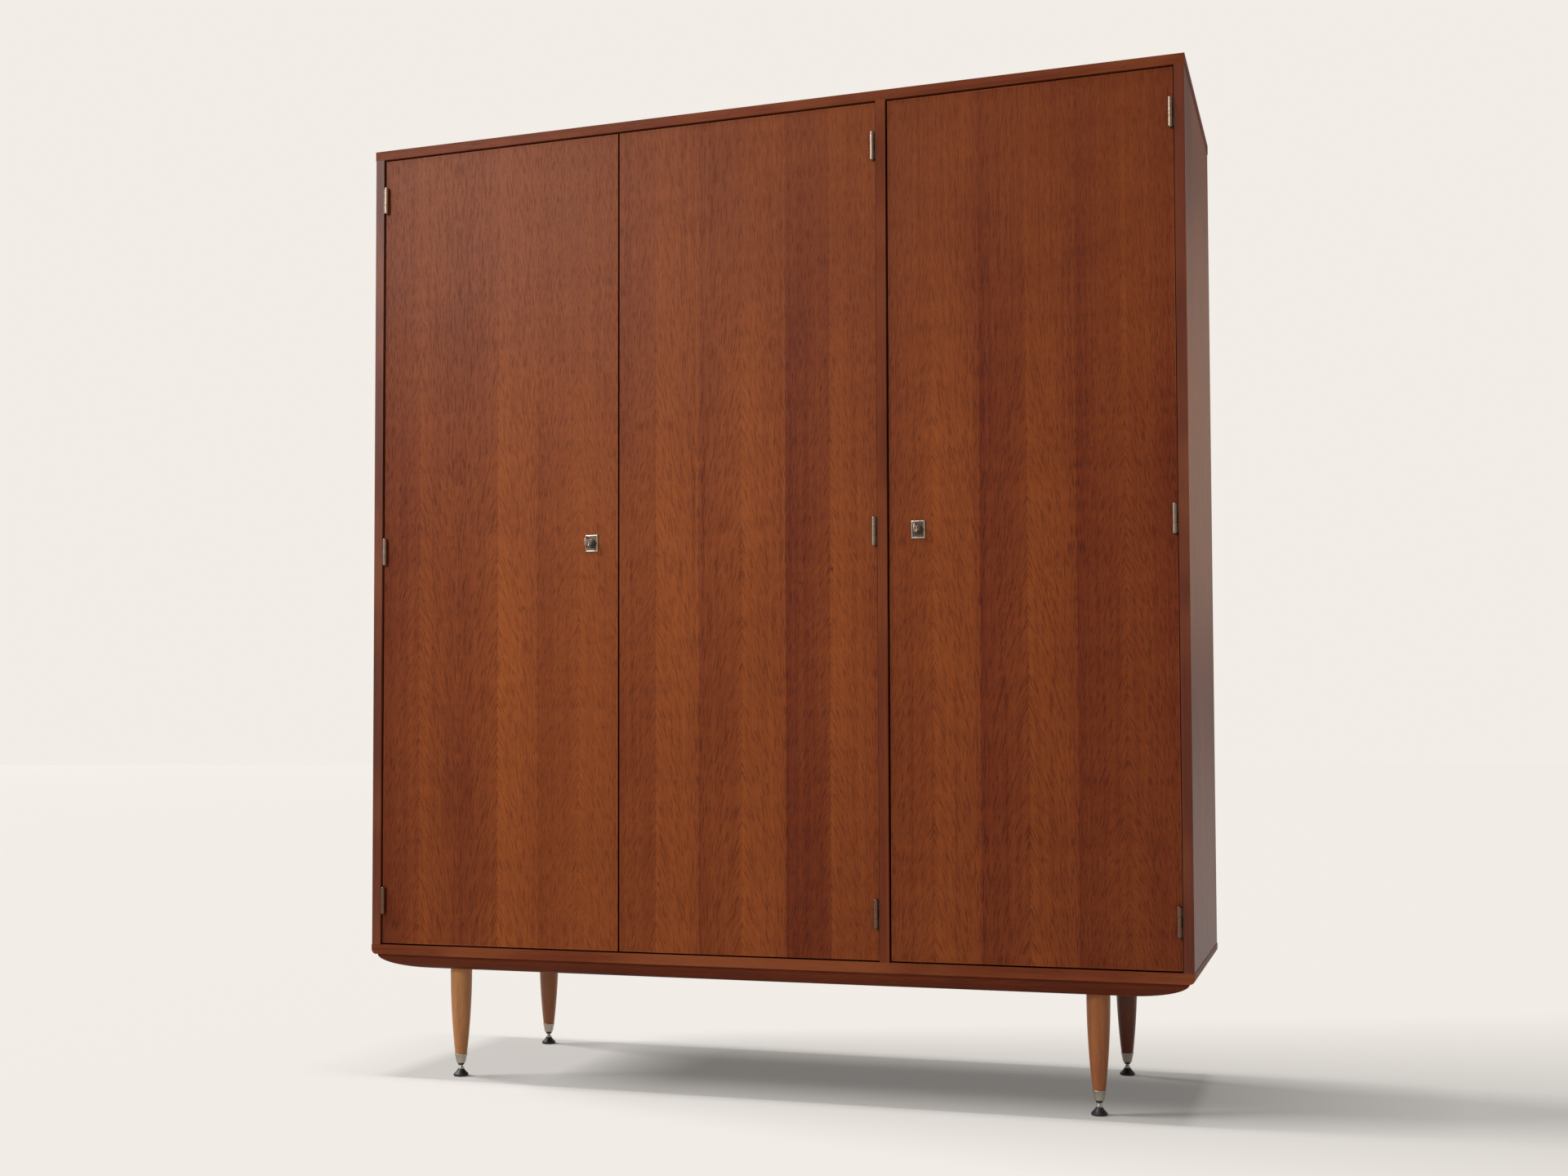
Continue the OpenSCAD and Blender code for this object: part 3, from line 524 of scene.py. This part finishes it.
def tipped(x, y, z, degrees):
    """A place whose Z axis is tipped about X: 90 faces the front and -90 the back."""
    return upright(x, y, z) @ Matrix.Rotation(math.radians(degrees), 4, "X")


def middle(node):
    low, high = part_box(node)
    return (low + high) / 2


def bevel(obj, width, segments=3, angle=30):
    """Rounds a CAD node's sharp edges with a modifier and shades it smoothly."""
    mod = obj.modifiers.new("edge_rounding", "BEVEL")
    mod.width = width
    mod.segments = segments
    mod.limit_method = "ANGLE"
    mod.angle_limit = math.radians(angle)
    mod.use_clamp_overlap = True
    mod.harden_normals = True
    weighted = obj.modifiers.new("even_normals", "WEIGHTED_NORMAL")
    weighted.keep_sharp = True


def dress(node, material, rounding=0.0, segments=3):
    """Gives a CAD node its material and rounds its edges."""
    obj = NODES[node]
    if not obj.data.materials:
        obj.data.materials.append(material)
    for slot in obj.material_slots:
        slot.material = material
    if rounding:
        bevel(obj, rounding, segments)


# --- Panels -----------------------------------------------------------------------

def dress_panels():
    for node, along, seed in (("top_panel", 0, 1.3), ("bottom_board", 0, 4.1),
                              ("left_side_panel", 2, 2.7), ("right_side_panel", 2, 5.9),
                              ("divider_panel", 2, 8.2)):
        wood = plain_wood(node + "_wood", along, RED_DARK, RED_LIGHT, seed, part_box(node),
                          edge=LIPPING_WEAR, shine=0.20 if "side" in node else 0.06,
                          front_shade=SIDE_FRONT_PAINTED_SHADE if "side" in node else None)
        dress(node, wood, 0.8 * MM)
    for node, (first, tones, seed) in DOOR_LEAVES.items():
        dress(node, leaf_veneer(node + "_veneer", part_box(node), first, tones, seed), 0.7 * MM)


def dress_base():
    for node, along in (("base_front_rail", 0), ("base_back_rail", 0),
                        ("base_left_rail", 1), ("base_right_rail", 1)):
        # Painted shade under the bottom board is in the base's tones
        wood = plain_wood(node + "_wood", along, BASE_SHADED_DARK, BASE_SHADED_LIGHT, along * 3.1 + 0.7,
                          shine=0.06)
        dress(node, wood, 0.5 * MM)


def dress_inside():
    for node in ("hat_shelf", "hat_shelf_cleats", "door_stops",
                 "shelf_1", "shelf_2", "shelf_3", "shelf_4"):
        wood = plain_wood(node + "_wood", 0, INSIDE_DARK, INSIDE_LIGHT,
                          sum(ord(c) for c in node) * 0.013, gloss=0.52)
        dress(node, wood, 0.6 * MM)
    for node in ("back_panel_left", "back_panel_right"):
        ply = plain_wood(node + "_ply", 2, PLY_DARK, PLY_LIGHT, len(node) * 0.37, gloss=0.62,
                         spread_mm=40.0, contrast=0.8)
        dress(node, ply, 0.3 * MM)


# --- Legs and feet -------------------------------------------------------------------

LEG_NAMES = ("front_left", "front_right", "back_left", "back_right")


def leg_profile(low, high, low_r, top_r):
    """The convex taper from the ferrule to the base, with a short tenon inside the ferrule."""
    steps = 40
    body = [(low_r + (top_r - low_r) * (1 - (1 - i / steps) ** 2),
             low + (high - low) * i / steps) for i in range(steps + 1)]
    tenon_r, tenon_end = low_r - 0.9 * MM, low - 4 * MM
    return [(0.0, tenon_end), (tenon_r, tenon_end), (tenon_r, low)] + body + [(0.0, high)]


def build_legs():
    foot_r = 11.5 * MM
    for name in LEG_NAMES:
        low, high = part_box("leg_" + name)
        centre = middle("leg_" + name)
        ferrule_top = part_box("leg_ferrules")[1].z
        # Each leg's tones take its painted shade
        dark, light = (tuple(a * b for a, b in zip(colour, LEG_PAINTED_SHADE[name]))
                       for colour in (LEG_DARK, LEG_LIGHT))
        wood = plain_wood("leg_wood_" + name, 2, dark, light, centre.x * 1.7 + centre.y, gloss=0.36,
                          spread_mm=9.0, contrast=0.75, shine=0.3)
        bm = bmesh.new()
        revolve(bm, leg_profile(ferrule_top, high.z, foot_r, (high.x - low.x) / 2),
                upright(centre.x, centre.y), 96)
        leg = finish_piece("leg_turned_" + name, bm, wood, "carcass")
        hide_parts("leg_" + name)


def ferrule_profile(low, high):
    """Tapered cup with a rolled lip at the top and a rounded foot."""
    bore, low_r, top_r = 4.4 * MM, 9.0 * MM, 11.9 * MM
    wall = 0.9 * MM
    lip = arc((top_r - 0.1 * MM, high - 0.7 * MM), (0.55 * MM, 0.7 * MM), -60, 90, 8)
    foot = arc((low_r - 3.0 * MM, low + 3.0 * MM), (3.0 * MM, 3.0 * MM), -90, 0, 10)
    return [(bore, low + 1.2 * MM), (bore, low)] + foot \
        + [(low_r + 0.35 * MM, low + 5 * MM)] + lip \
        + [(top_r - wall, high), (top_r - wall - 0.6 * MM, high - 4 * MM),
           (low_r - wall, low + 3.2 * MM), (bore, low + 1.2 * MM)]


def build_ferrules(satin, plastic):
    """The ferrules' cups and the black collars below them."""
    low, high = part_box("leg_ferrules")
    cups, collars = bmesh.new(), bmesh.new()
    collar_low, collar_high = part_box("leg_bushings")
    collar_h = collar_high.z - collar_low.z
    hole, edge_r, round_r = 4.1 * MM, 5.4 * MM, 0.9 * MM
    collar = [(hole, 0), (edge_r, 0)] + arc((edge_r, round_r), (round_r, round_r), -90, 0, 6) \
        + [(edge_r + round_r, collar_h), (hole, collar_h), (hole, 0)]
    for name in LEG_NAMES:
        centre = middle("leg_" + name)
        revolve(cups, ferrule_profile(low.z, high.z), upright(centre.x, centre.y), 96)
        revolve(collars, collar, upright(centre.x, centre.y, collar_low.z), 64)
    piece = finish_piece("leg_ferrule_cups", cups, satin, "carcass")
    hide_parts("leg_ferrules")
    piece = finish_piece("leg_collars", collars, plastic, "carcass")
    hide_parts("leg_bushings")


def foot_profile(radius, height):
    """Bell-shaped disc: a short upright rim, then a hollow slope up to a neck."""
    rim_r, shoulder_r, crown_r, neck_r = 1.0 * MM, 1.6 * MM, 0.9 * MM, 6.6 * MM
    hollow = 0.4 * MM
    rim = arc((radius - rim_r, rim_r), (rim_r, rim_r), -90, 0, 6)
    shoulder = arc((radius - shoulder_r, 3.6 * MM), (shoulder_r, shoulder_r), 0, 62, 6)
    start = shoulder[-1]
    slope, steps = [], 12
    for i in range(1, steps + 1):
        t = i / steps
        slope.append((start[0] + (neck_r - start[0]) * t,
                      start[1] + (height - 1.0 * MM - start[1]) * (0.72 * t + 0.28 * t * t)))
    crown = arc((neck_r - crown_r, height - crown_r), (crown_r, crown_r), 20, 90, 5)
    return [(0, hollow), (radius - 4 * MM, hollow), (radius - 3 * MM, 0)] + rim \
        + shoulder + slope + crown + [(0, height)]


def thread_profile(low, high, radius, pitch):
    """A stud's outline with its thread as closely set ridges."""
    root = radius - 0.55 * MM
    points = [(0, low), (root, low)]
    z = low
    while z + pitch < high:
        points += [(root, z + 0.15 * pitch), (radius, z + 0.45 * pitch),
                   (radius, z + 0.60 * pitch), (root, z + 0.90 * pitch)]
        z += pitch
    return points + [(root, high), (0, high)]


def hexagon(bm, across, low, high, hole, matrix):
    """A chamfered hexagon nut round a hole."""
    steps, chamfer, face_r = 36, 0.5 * MM, across / 2 * 0.93
    rings = []
    for radius, z in ((hole, low), (face_r, low), (None, low + chamfer), (None, high - chamfer),
                      (face_r, high), (hole, high)):
        ring = []
        for i in range(steps):
            angle = math.tau * i / steps
            to_flat = (angle + math.pi / 6) % (math.pi / 3) - math.pi / 6
            r = radius or across / 2 / math.cos(to_flat)
            place = Vector((r * math.cos(angle), r * math.sin(angle), z))
            ring.append(bm.verts.new(matrix @ place))
        rings.append(ring)
    for low_ring, high_ring in zip(rings, rings[1:] + rings[:1]):
        bridge(bm, low_ring, high_ring)


def build_feet(plastic, steel):
    """Each levelling foot: its disc, threaded stud and nut."""
    disc_h, nut_h, nut_across, nut_hole = 14 * MM, 2.5 * MM, 11 * MM, 3.6 * MM
    stud_r, stud_sunk, pitch = 4 * MM, 1 * MM, 1.25 * MM
    for name in LEG_NAMES:
        node = "foot_" + name
        low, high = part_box(node)
        centre = middle(node)
        at = upright(centre.x, centre.y, low.z)
        body = "levelling_" + name
        disc = bmesh.new()
        revolve(disc, foot_profile((high.x - low.x) / 2, disc_h), at, 96)
        piece = finish_piece("foot_disc_" + name, disc, plastic, body, 50)
        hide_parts(node)
        stud = bmesh.new()
        revolve(stud, thread_profile(disc_h - stud_sunk, high.z - low.z, stud_r, pitch), at, 48)
        finish_piece("foot_stud_" + name, stud, steel, body, 60)
        nut = bmesh.new()
        hexagon(nut, nut_across, disc_h, disc_h + nut_h, nut_hole, at)
        finish_piece("foot_nut_" + name, nut, steel, body, 25)


# --- Hinges -----------------------------------------------------------------------------

def heights(node, apart):
    """Middle heights of the separate bodies in a node that lie one above another."""
    levels = sorted(v.co.z for v in NODES[node].data.vertices)
    groups = [[levels[0]]]
    for z in levels[1:]:
        if z - groups[-1][0] > 2 * apart:
            groups.append([])
        groups[-1].append(z)
    return [(group[0] + group[-1]) / 2 for group in groups]


def build_hinge_pins(nickel):
    """Pins with domed tips that close each barrel."""
    length, pin_r, tip_r, dome_h = 50 * MM, 1.95 * MM, 3.9 * MM, 1.9 * MM
    end = length / 2 + 0.1 * MM
    upper = [(tip_r - 0.3 * MM, end), (tip_r, end + 0.1 * MM)] \
        + arc((0, end + 0.25 * MM), (tip_r, dome_h), 0, 90, 8)
    lower = [(r, -h) for r, h in reversed(upper)]
    for side in ("left", "middle", "right"):
        node = side + "_door_hinge_pins"
        centre = middle(node)
        bm = bmesh.new()
        for z in heights(node, length):
            revolve(bm, lower + [(pin_r, -end), (pin_r, end)] + upper,
                    upright(centre.x, centre.y, z), 48)
        piece = finish_piece(side + "_hinge_pins_domed", bm, nickel, "door_" + side)
        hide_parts(node)


# --- Locks and keys ---------------------------------------------------------------------

def rectangle_ring(bm, centre, half_w, half_h, radius, y, steps=6):
    """A rounded rectangle of vertices in the plane y, facing the front."""
    ring = []
    for cx, cz, start in ((1, 1, 0), (-1, 1, 90), (-1, -1, 180), (1, -1, 270)):
        for i in range(steps + 1):
            a = math.radians(start + 90 * i / steps)
            ring.append(bm.verts.new((
                centre.x + cx * (half_w - radius) + radius * math.cos(a), y,
                centre.z + cz * (half_h - radius) + radius * math.sin(a))))
    return ring


def build_plate_rims(bright, painted_dark_plate):
    """The bevelled border that stands round each key plate, and the ring round the keyhole."""
    plate_t, corner_r, boss = 1.6 * MM, 0.6 * MM, 5.0 * MM
    for side in ("left", "right"):
        low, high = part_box(side + "_key_plate")
        centre = (low + high) / 2
        door_face = high.y
        plate_face = door_face - plate_t
        half_w, half_h = (high.x - low.x) / 2, (high.z - low.z) / 2
        bm = bmesh.new()
        # Each loop's distance inwards, and how far it stands out of the plate, in mm
        rings = [rectangle_ring(bm, centre, half_w - inwards * MM, half_h - inwards * MM,
                                corner_r, plate_face - out * MM)
                 for inwards, out in ((0.0, -1.6), (0.0, -0.5), (0.35, 0.2), (1.3, 0.9),
                                      (2.0, 1.0), (2.8, 0.55), (3.3, -0.1), (3.3, -1.6))]
        for first, second in zip(rings, rings[1:] + rings[:1]):
            bridge(bm, first, second)
        finish_piece(side + "_key_plate_rim", bm, bright, "door_" + side, 50)
        ring = bmesh.new()
        forwards = tipped(centre.x, plate_face, centre.z, 90)
        revolve(ring, [(6.7 * MM, 0.0), (8.6 * MM, 0.0), (8.4 * MM, 0.5 * MM)]
                + arc((7.5 * MM, 0.6 * MM), (0.9 * MM, 0.9 * MM), 20, 120, 6)
                + [(6.9 * MM, 0.8 * MM), (6.95 * MM, boss - 0.6 * MM)]
                + arc((6.2 * MM, boss - 0.65 * MM), (0.75 * MM, 0.75 * MM), 0, 90, 6)
                + [(5.4 * MM, boss + 0.05 * MM), (5.2 * MM, boss - 0.3 * MM), (5.2 * MM, 0.0)],
                forwards, 72)
        # The keyhole ring takes the nickel painted dark
        finish_piece(side + "_keyhole_ring", ring, painted_dark_plate, "door_" + side, 50)


def ring_bow(bm, centre, radius, half_t, half_w, steps=72, section=16):
    """A closed ring of oval section in the upright plane through the key's axis."""
    loops = []
    for i in range(steps):
        a = math.tau * i / steps
        outward = Vector((0, math.cos(a), math.sin(a)))
        loop = []
        for k in range(section):
            b = math.tau * k / section
            loop.append(bm.verts.new(centre + outward * (radius + half_t * math.cos(b))
                                     + Vector((half_w * math.sin(b), 0, 0))))
        loops.append(loop)
    for first, second in zip(loops, loops[1:] + loops[:1]):
        bridge(bm, first, second)


def prism(bm, outline, x0, x1):
    """Extrudes a (y, z) outline from x0 to x1."""
    rings = [[bm.verts.new((x, y, z)) for y, z in outline] for x in (x0, x1)]
    bridge(bm, *rings)
    bm.faces.new(rings[0])
    bm.faces.new(rings[1])


def build_keys(key_metal):
    """Keys with a ring bow, a turned collar and a stepped bit, standing in their locks."""
    wire, wire_half_w = 1.5 * MM, 1.45 * MM
    shank, bit_half_t = 2.2 * MM, 1.1 * MM
    bit_drop, notch_h = 9.0 * MM, 2.6 * MM
    notch_from, notch_to, bit_end = 1.4 * MM, 2.4 * MM, 4.0 * MM
    for side in ("left", "right"):
        node = side + "_key"
        low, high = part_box(node)
        centre = (low + high) / 2
        axis_z = centre.z
        bow_r = (high.z - low.z) / 2
        bow = Vector((centre.x, low.y + bow_r, axis_z))
        bm = bmesh.new()
        ring_bow(bm, bow, bow_r - wire, wire, wire_half_w)
        reach = high.y - (low.y + 2 * bow_r) + 2.2 * MM
        collar = reach - 9.0 * MM
        revolve(bm, [(0, 0), (1.6 * MM, 0), (shank, 0.6 * MM), (shank, collar - 1 * MM)]
                + arc((2.4 * MM, collar + 0.2 * MM), (1.0 * MM, 1.2 * MM), -80, 80, 8)
                + arc((shank, collar + 3.2 * MM), (0.9 * MM, 1.0 * MM), -80, 80, 8)
                + [(shank, collar + 5 * MM), (2.7 * MM, reach - 1.2 * MM),
                   (2.0 * MM, reach), (0, reach)], tipped(centre.x, high.y, axis_z, 90), 48)
        tip = high.y
        bit_z = axis_z - bit_drop
        outline = [(tip, axis_z), (tip, bit_z), (tip - notch_from, bit_z),
                   (tip - notch_from, bit_z + notch_h), (tip - notch_to, bit_z + notch_h),
                   (tip - notch_to, bit_z), (tip - bit_end, bit_z), (tip - bit_end, axis_z)]
        prism(bm, outline, centre.x - bit_half_t, centre.x + bit_half_t)
        piece = finish_piece(side + "_key_turned", bm, key_metal, "key_" + side,
                             40)
        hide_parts(node)


def slotted_head(bm, at, radius, height):
    """A domed screw head with a straight slot, standing on the matrix's XY plane."""
    before = len(bm.verts)
    edge, slot, depth = 0.35 * MM, 0.45 * MM, 0.9 * MM
    revolve(bm, [(radius, 0)] + arc((0, edge), (radius, height - edge), 0, 90, 14),
            Matrix.Identity(4), 96)
    bm.verts.ensure_lookup_table()
    for vertex in bm.verts[before:]:
        if abs(vertex.co.x) < slot:
            vertex.co.z = min(vertex.co.z, height - depth)
        vertex.co = at @ vertex.co


def build_case_screws(steel):
    """Four screws in the inner face of each lock case."""
    inset, head_r, head_h = 7 * MM, 3.2 * MM, 1.7 * MM
    first_turn, next_turn = 25, 47
    for side in ("left", "right"):
        low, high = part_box(side + "_lock_case")
        bm = bmesh.new()
        corners = [(x, z) for x in (low.x + inset, high.x - inset)
                   for z in (low.z + inset, high.z - inset)]
        for number, (x, z) in enumerate(corners):
            turn = Matrix.Rotation(math.radians(first_turn + next_turn * number), 4, "Z")
            slotted_head(bm, tipped(x, high.y, z, -90) @ turn, head_r, head_h)
        finish_piece(side + "_case_screws", bm, steel, "door_" + side, 40)


# --- Hardware dressed from the CAD ----------------------------------------------------------

def dress_hardware():
    """Gives the metal and plastic nodes their materials and builds the smooth pieces."""
    # The nickel is partly its own dull colour, partly a painted reflection of the red wood round it
    nickel = metal("bright_nickel_plate", (0.30, 0.212, 0.160), 0.33, dirt=0.5,
                   browned_below=BROWNED_BELOW)
    # The same nickel as lit and shaded copies: a painted highlight on the rims, painted shade for
    # the dark reflection in the plates
    rim = metal("rim_nickel_plate", (0.50, 0.41, 0.33), 0.28, dirt=0.4)
    painted_dark_plate = metal("nickel_plate_painted_dark", (0.13, 0.098, 0.075), 0.30, tarnish=(0.06, 0.04, 0.03),
                 dirt=0.6)
    satin = metal("satin_nickel_plate", (0.46, 0.41, 0.35), 0.34, brushed=2, dirt=0.45)
    zinc = metal("zinc_plate", (0.55, 0.54, 0.52), 0.36, dirt=0.4)
    chrome = metal("chromed_tube", (0.80, 0.80, 0.80), 0.12, brushed=0, dirt=0.12)
    brass = metal("plain_brass", (0.72, 0.47, 0.17), 0.28, tarnish=(0.20, 0.11, 0.04), dirt=0.4)
    steel = metal("plated_screw_steel", (0.56, 0.54, 0.50), 0.30, dirt=0.35)
    plastic = black_plastic("moulded_black_plastic")
    # The hinges' nickel is reddened the same way, partly as a painted reflection of the wood
    hinge = metal("hinge_nickel_plate", (0.30, 0.208, 0.155), 0.33, dirt=0.5,
                  # Painted shade behind the pins starts here
                  pin_shade_from=middle("left_door_hinge_pins").y - 0.4 * MM,
                  browned_below=BROWNED_BELOW)
    for node in ("frame_hinge_leaves", "left_door_hinge_leaves", "middle_door_hinge_leaves",
                 "right_door_hinge_leaves"):
        dress(node, hinge, 0.22 * MM, 2)
    for node in ("left_key_plate", "right_key_plate"):
        dress(node, painted_dark_plate, 0.15 * MM, 2)
    for node in ("left_lock_case", "right_lock_case", "lock_keeper", "door_bolt_guides",
                 "strike_plate", "rail_sockets", "top_door_bolt", "bottom_door_bolt"):
        dress(node, zinc, 0.3 * MM, 2)
    for node in ("left_lock_bolt", "right_lock_bolt", "shelf_pins"):
        dress(node, brass, 0.3 * MM, 2)
    for node in ("frame_hinge_screws", "left_door_screws", "middle_door_screws",
                 "right_door_screws", "back_panel_screws", "leg_studs"):
        dress(node, steel, 0.15 * MM, 2)
    dress("clothes_rail", chrome, 0.3 * MM, 2)
    build_ferrules(satin, plastic)
    build_feet(plastic, steel)
    build_hinge_pins(nickel)
    build_plate_rims(rim, painted_dark_plate)
    build_keys(metal("key_nickel", (0.40, 0.33, 0.26), 0.24, dirt=0.4))
    build_case_screws(steel)


# --- Studio -------------------------------------------------------------------------------------

def build_world():
    """The pale backdrop: seen at full strength, while it lights the room less."""
    world = bpy.data.worlds.new("studio")
    bpy.context.scene.world = world
    world.use_nodes = True
    tree = world.node_tree
    background = tree.nodes["Background"]
    background.inputs["Color"].default_value = (*BACKDROP, 1.0)
    path = tree.nodes.new("ShaderNodeLightPath")
    level = tree.nodes.new("ShaderNodeMapRange")
    level.inputs["To Min"].default_value = ROOM_LEVEL
    tree.links.new(path.outputs["Is Camera Ray"], level.inputs["Value"])
    tree.links.new(level.outputs[0], background.inputs["Strength"])


def lamp(name, kind, location, aim, power, **settings):
    light = bpy.data.lights.new(name, kind)
    light.energy = power
    for key, value in settings.items():
        setattr(light, key, value)
    obj = bpy.data.objects.new(name, light)
    bpy.context.collection.objects.link(obj)
    obj.location = location
    ahead = Vector(aim) - Vector(location)
    obj.rotation_euler = ahead.to_track_quat("-Z", "Y").to_euler()
    return obj


def build_floor():
    bm = bmesh.new()
    corners = [bm.verts.new((sx * FLOOR_HALF, sy * FLOOR_HALF, 0.0))
               for sx, sy in ((-1, -1), (1, -1), (1, 1), (-1, 1))]
    bm.faces.new(corners)
    mesh = bpy.data.meshes.new("floor")
    bm.to_mesh(mesh)
    bm.free()
    floor = bpy.data.objects.new("floor", mesh)
    bpy.context.collection.objects.link(floor)
    s = Shader("studio_floor")
    s.set(Base_Color=(FLOOR_ROOM / ROOM_LEVEL,) * 3, Roughness=1.0, Specular_IOR_Level=0.0,
          Emission_Color=BACKDROP, Emission_Strength=FLOOR_GLOW)
    mesh.materials.append(s.material)
    return floor


def lights_only(lamps, floor, state):
    """Keeps lamps to the floor alone, or away from it."""
    receivers = bpy.data.collections.new("floor_" + state.lower())
    receivers.objects.link(floor)
    receivers.collection_objects[0].light_linking.link_state = state
    for obj in lamps:
        obj.light_linking.receiver_collection = receivers


def direction(height, turn):
    """Unit vector towards a lamp, from its height and its turn to the front, in degrees."""
    height, turn = math.radians(height), math.radians(turn)
    return Vector((-math.cos(height) * math.cos(turn), -math.cos(height) * math.sin(turn),
                   math.sin(height)))


def floor_lamp(name, height, turn, half_width, half_height, part):
    """A far panel that gives the floor its part of the backdrop's brightness."""
    towards = direction(height, turn)
    wide, tall = (math.tan(math.radians(a)) for a in (half_width, half_height))
    albedo = FLOOR_ROOM / ROOM_LEVEL
    # The panel's light on the floor is summed over a grid of points on it
    across = towards.cross(Vector((0, 0, 1))).normalized()
    along = across.cross(towards)
    steps = 8
    reach = 0.0
    for i in range(steps):
        for j in range(steps):
            point = towards + across * wide * ((2 * i + 1) / steps - 1) \
                + along * tall * ((2 * j + 1) / steps - 1)
            reach += point.z / point.length ** 4 / steps ** 2
    power = part / albedo * math.pi ** 2 * FLOOR_LAMP_DISTANCE ** 2 / reach
    obj = lamp(name, "AREA", towards * FLOOR_LAMP_DISTANCE, (0, 0, 0), power, shape="RECTANGLE",
               size=2 * FLOOR_LAMP_DISTANCE * wide, size_y=2 * FLOOR_LAMP_DISTANCE * tall)
    obj.data.color = BACKDROP
    obj.visible_camera = False
    return obj


def build_lights(floor):
    sun = lamp("side_sun", "SUN", direction(SIDE_SUN_HEIGHT, SIDE_SUN_TURN) * SUN_DISTANCE,
               (0, 0, 0), SIDE_SUN, angle=math.radians(SIDE_SUN_SPREAD))
    key = lamp("front_softbox", "AREA", KEY_PLACE, KEY_AIM, KEY_POWER, shape="RECTANGLE",
               size=KEY_SIZE[0], size_y=KEY_SIZE[1])
    back = lamp("back_sun", "SUN", direction(BACK_SUN_HEIGHT, BACK_SUN_TURN) * SUN_DISTANCE,
                (0, 0, 0), BACK_SUN, angle=math.radians(BACK_SUN_SPREAD))
    back.data.color = BACK_SUN_TINT
    lights_only([sun, key, back], floor, "EXCLUDE")
    lights_only([floor_lamp(name, *values) for name, values in FLOOR_LAMPS.items()], floor,
                "INCLUDE")


def build_camera():
    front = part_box("bottom_board")[0].y
    yaw, pitch, roll = (math.radians(a) for a in (CAMERA_YAW, CAMERA_PITCH, CAMERA_ROLL))
    level = Vector((-math.sin(yaw), math.cos(yaw), 0))
    ahead = level * math.cos(pitch) + Vector((0, 0, 1)) * math.sin(pitch)
    right = Vector((math.cos(yaw), math.sin(yaw), 0))
    up = right.cross(ahead)
    turned_right = right * math.cos(roll) - up * math.sin(roll)
    turned_up = right * math.sin(roll) + up * math.cos(roll)
    matrix = Matrix((turned_right, turned_up, -ahead)).transposed().to_4x4()
    matrix.translation = Vector((CAMERA_RIGHT, front - CAMERA_BACK, CAMERA_HEIGHT))
    data = bpy.data.cameras.new("camera")
    data.lens = CAMERA_LENS
    data.shift_y = CAMERA_SHIFT
    camera = bpy.data.objects.new("camera", data)
    bpy.context.collection.objects.link(camera)
    camera.matrix_world = matrix
    bpy.context.scene.camera = camera


bpy.context.scene.view_settings.view_transform = "Standard"
build_world()
build_lights(build_floor())
build_camera()
dress_panels()
dress_base()
dress_inside()
build_legs()
dress_hardware()
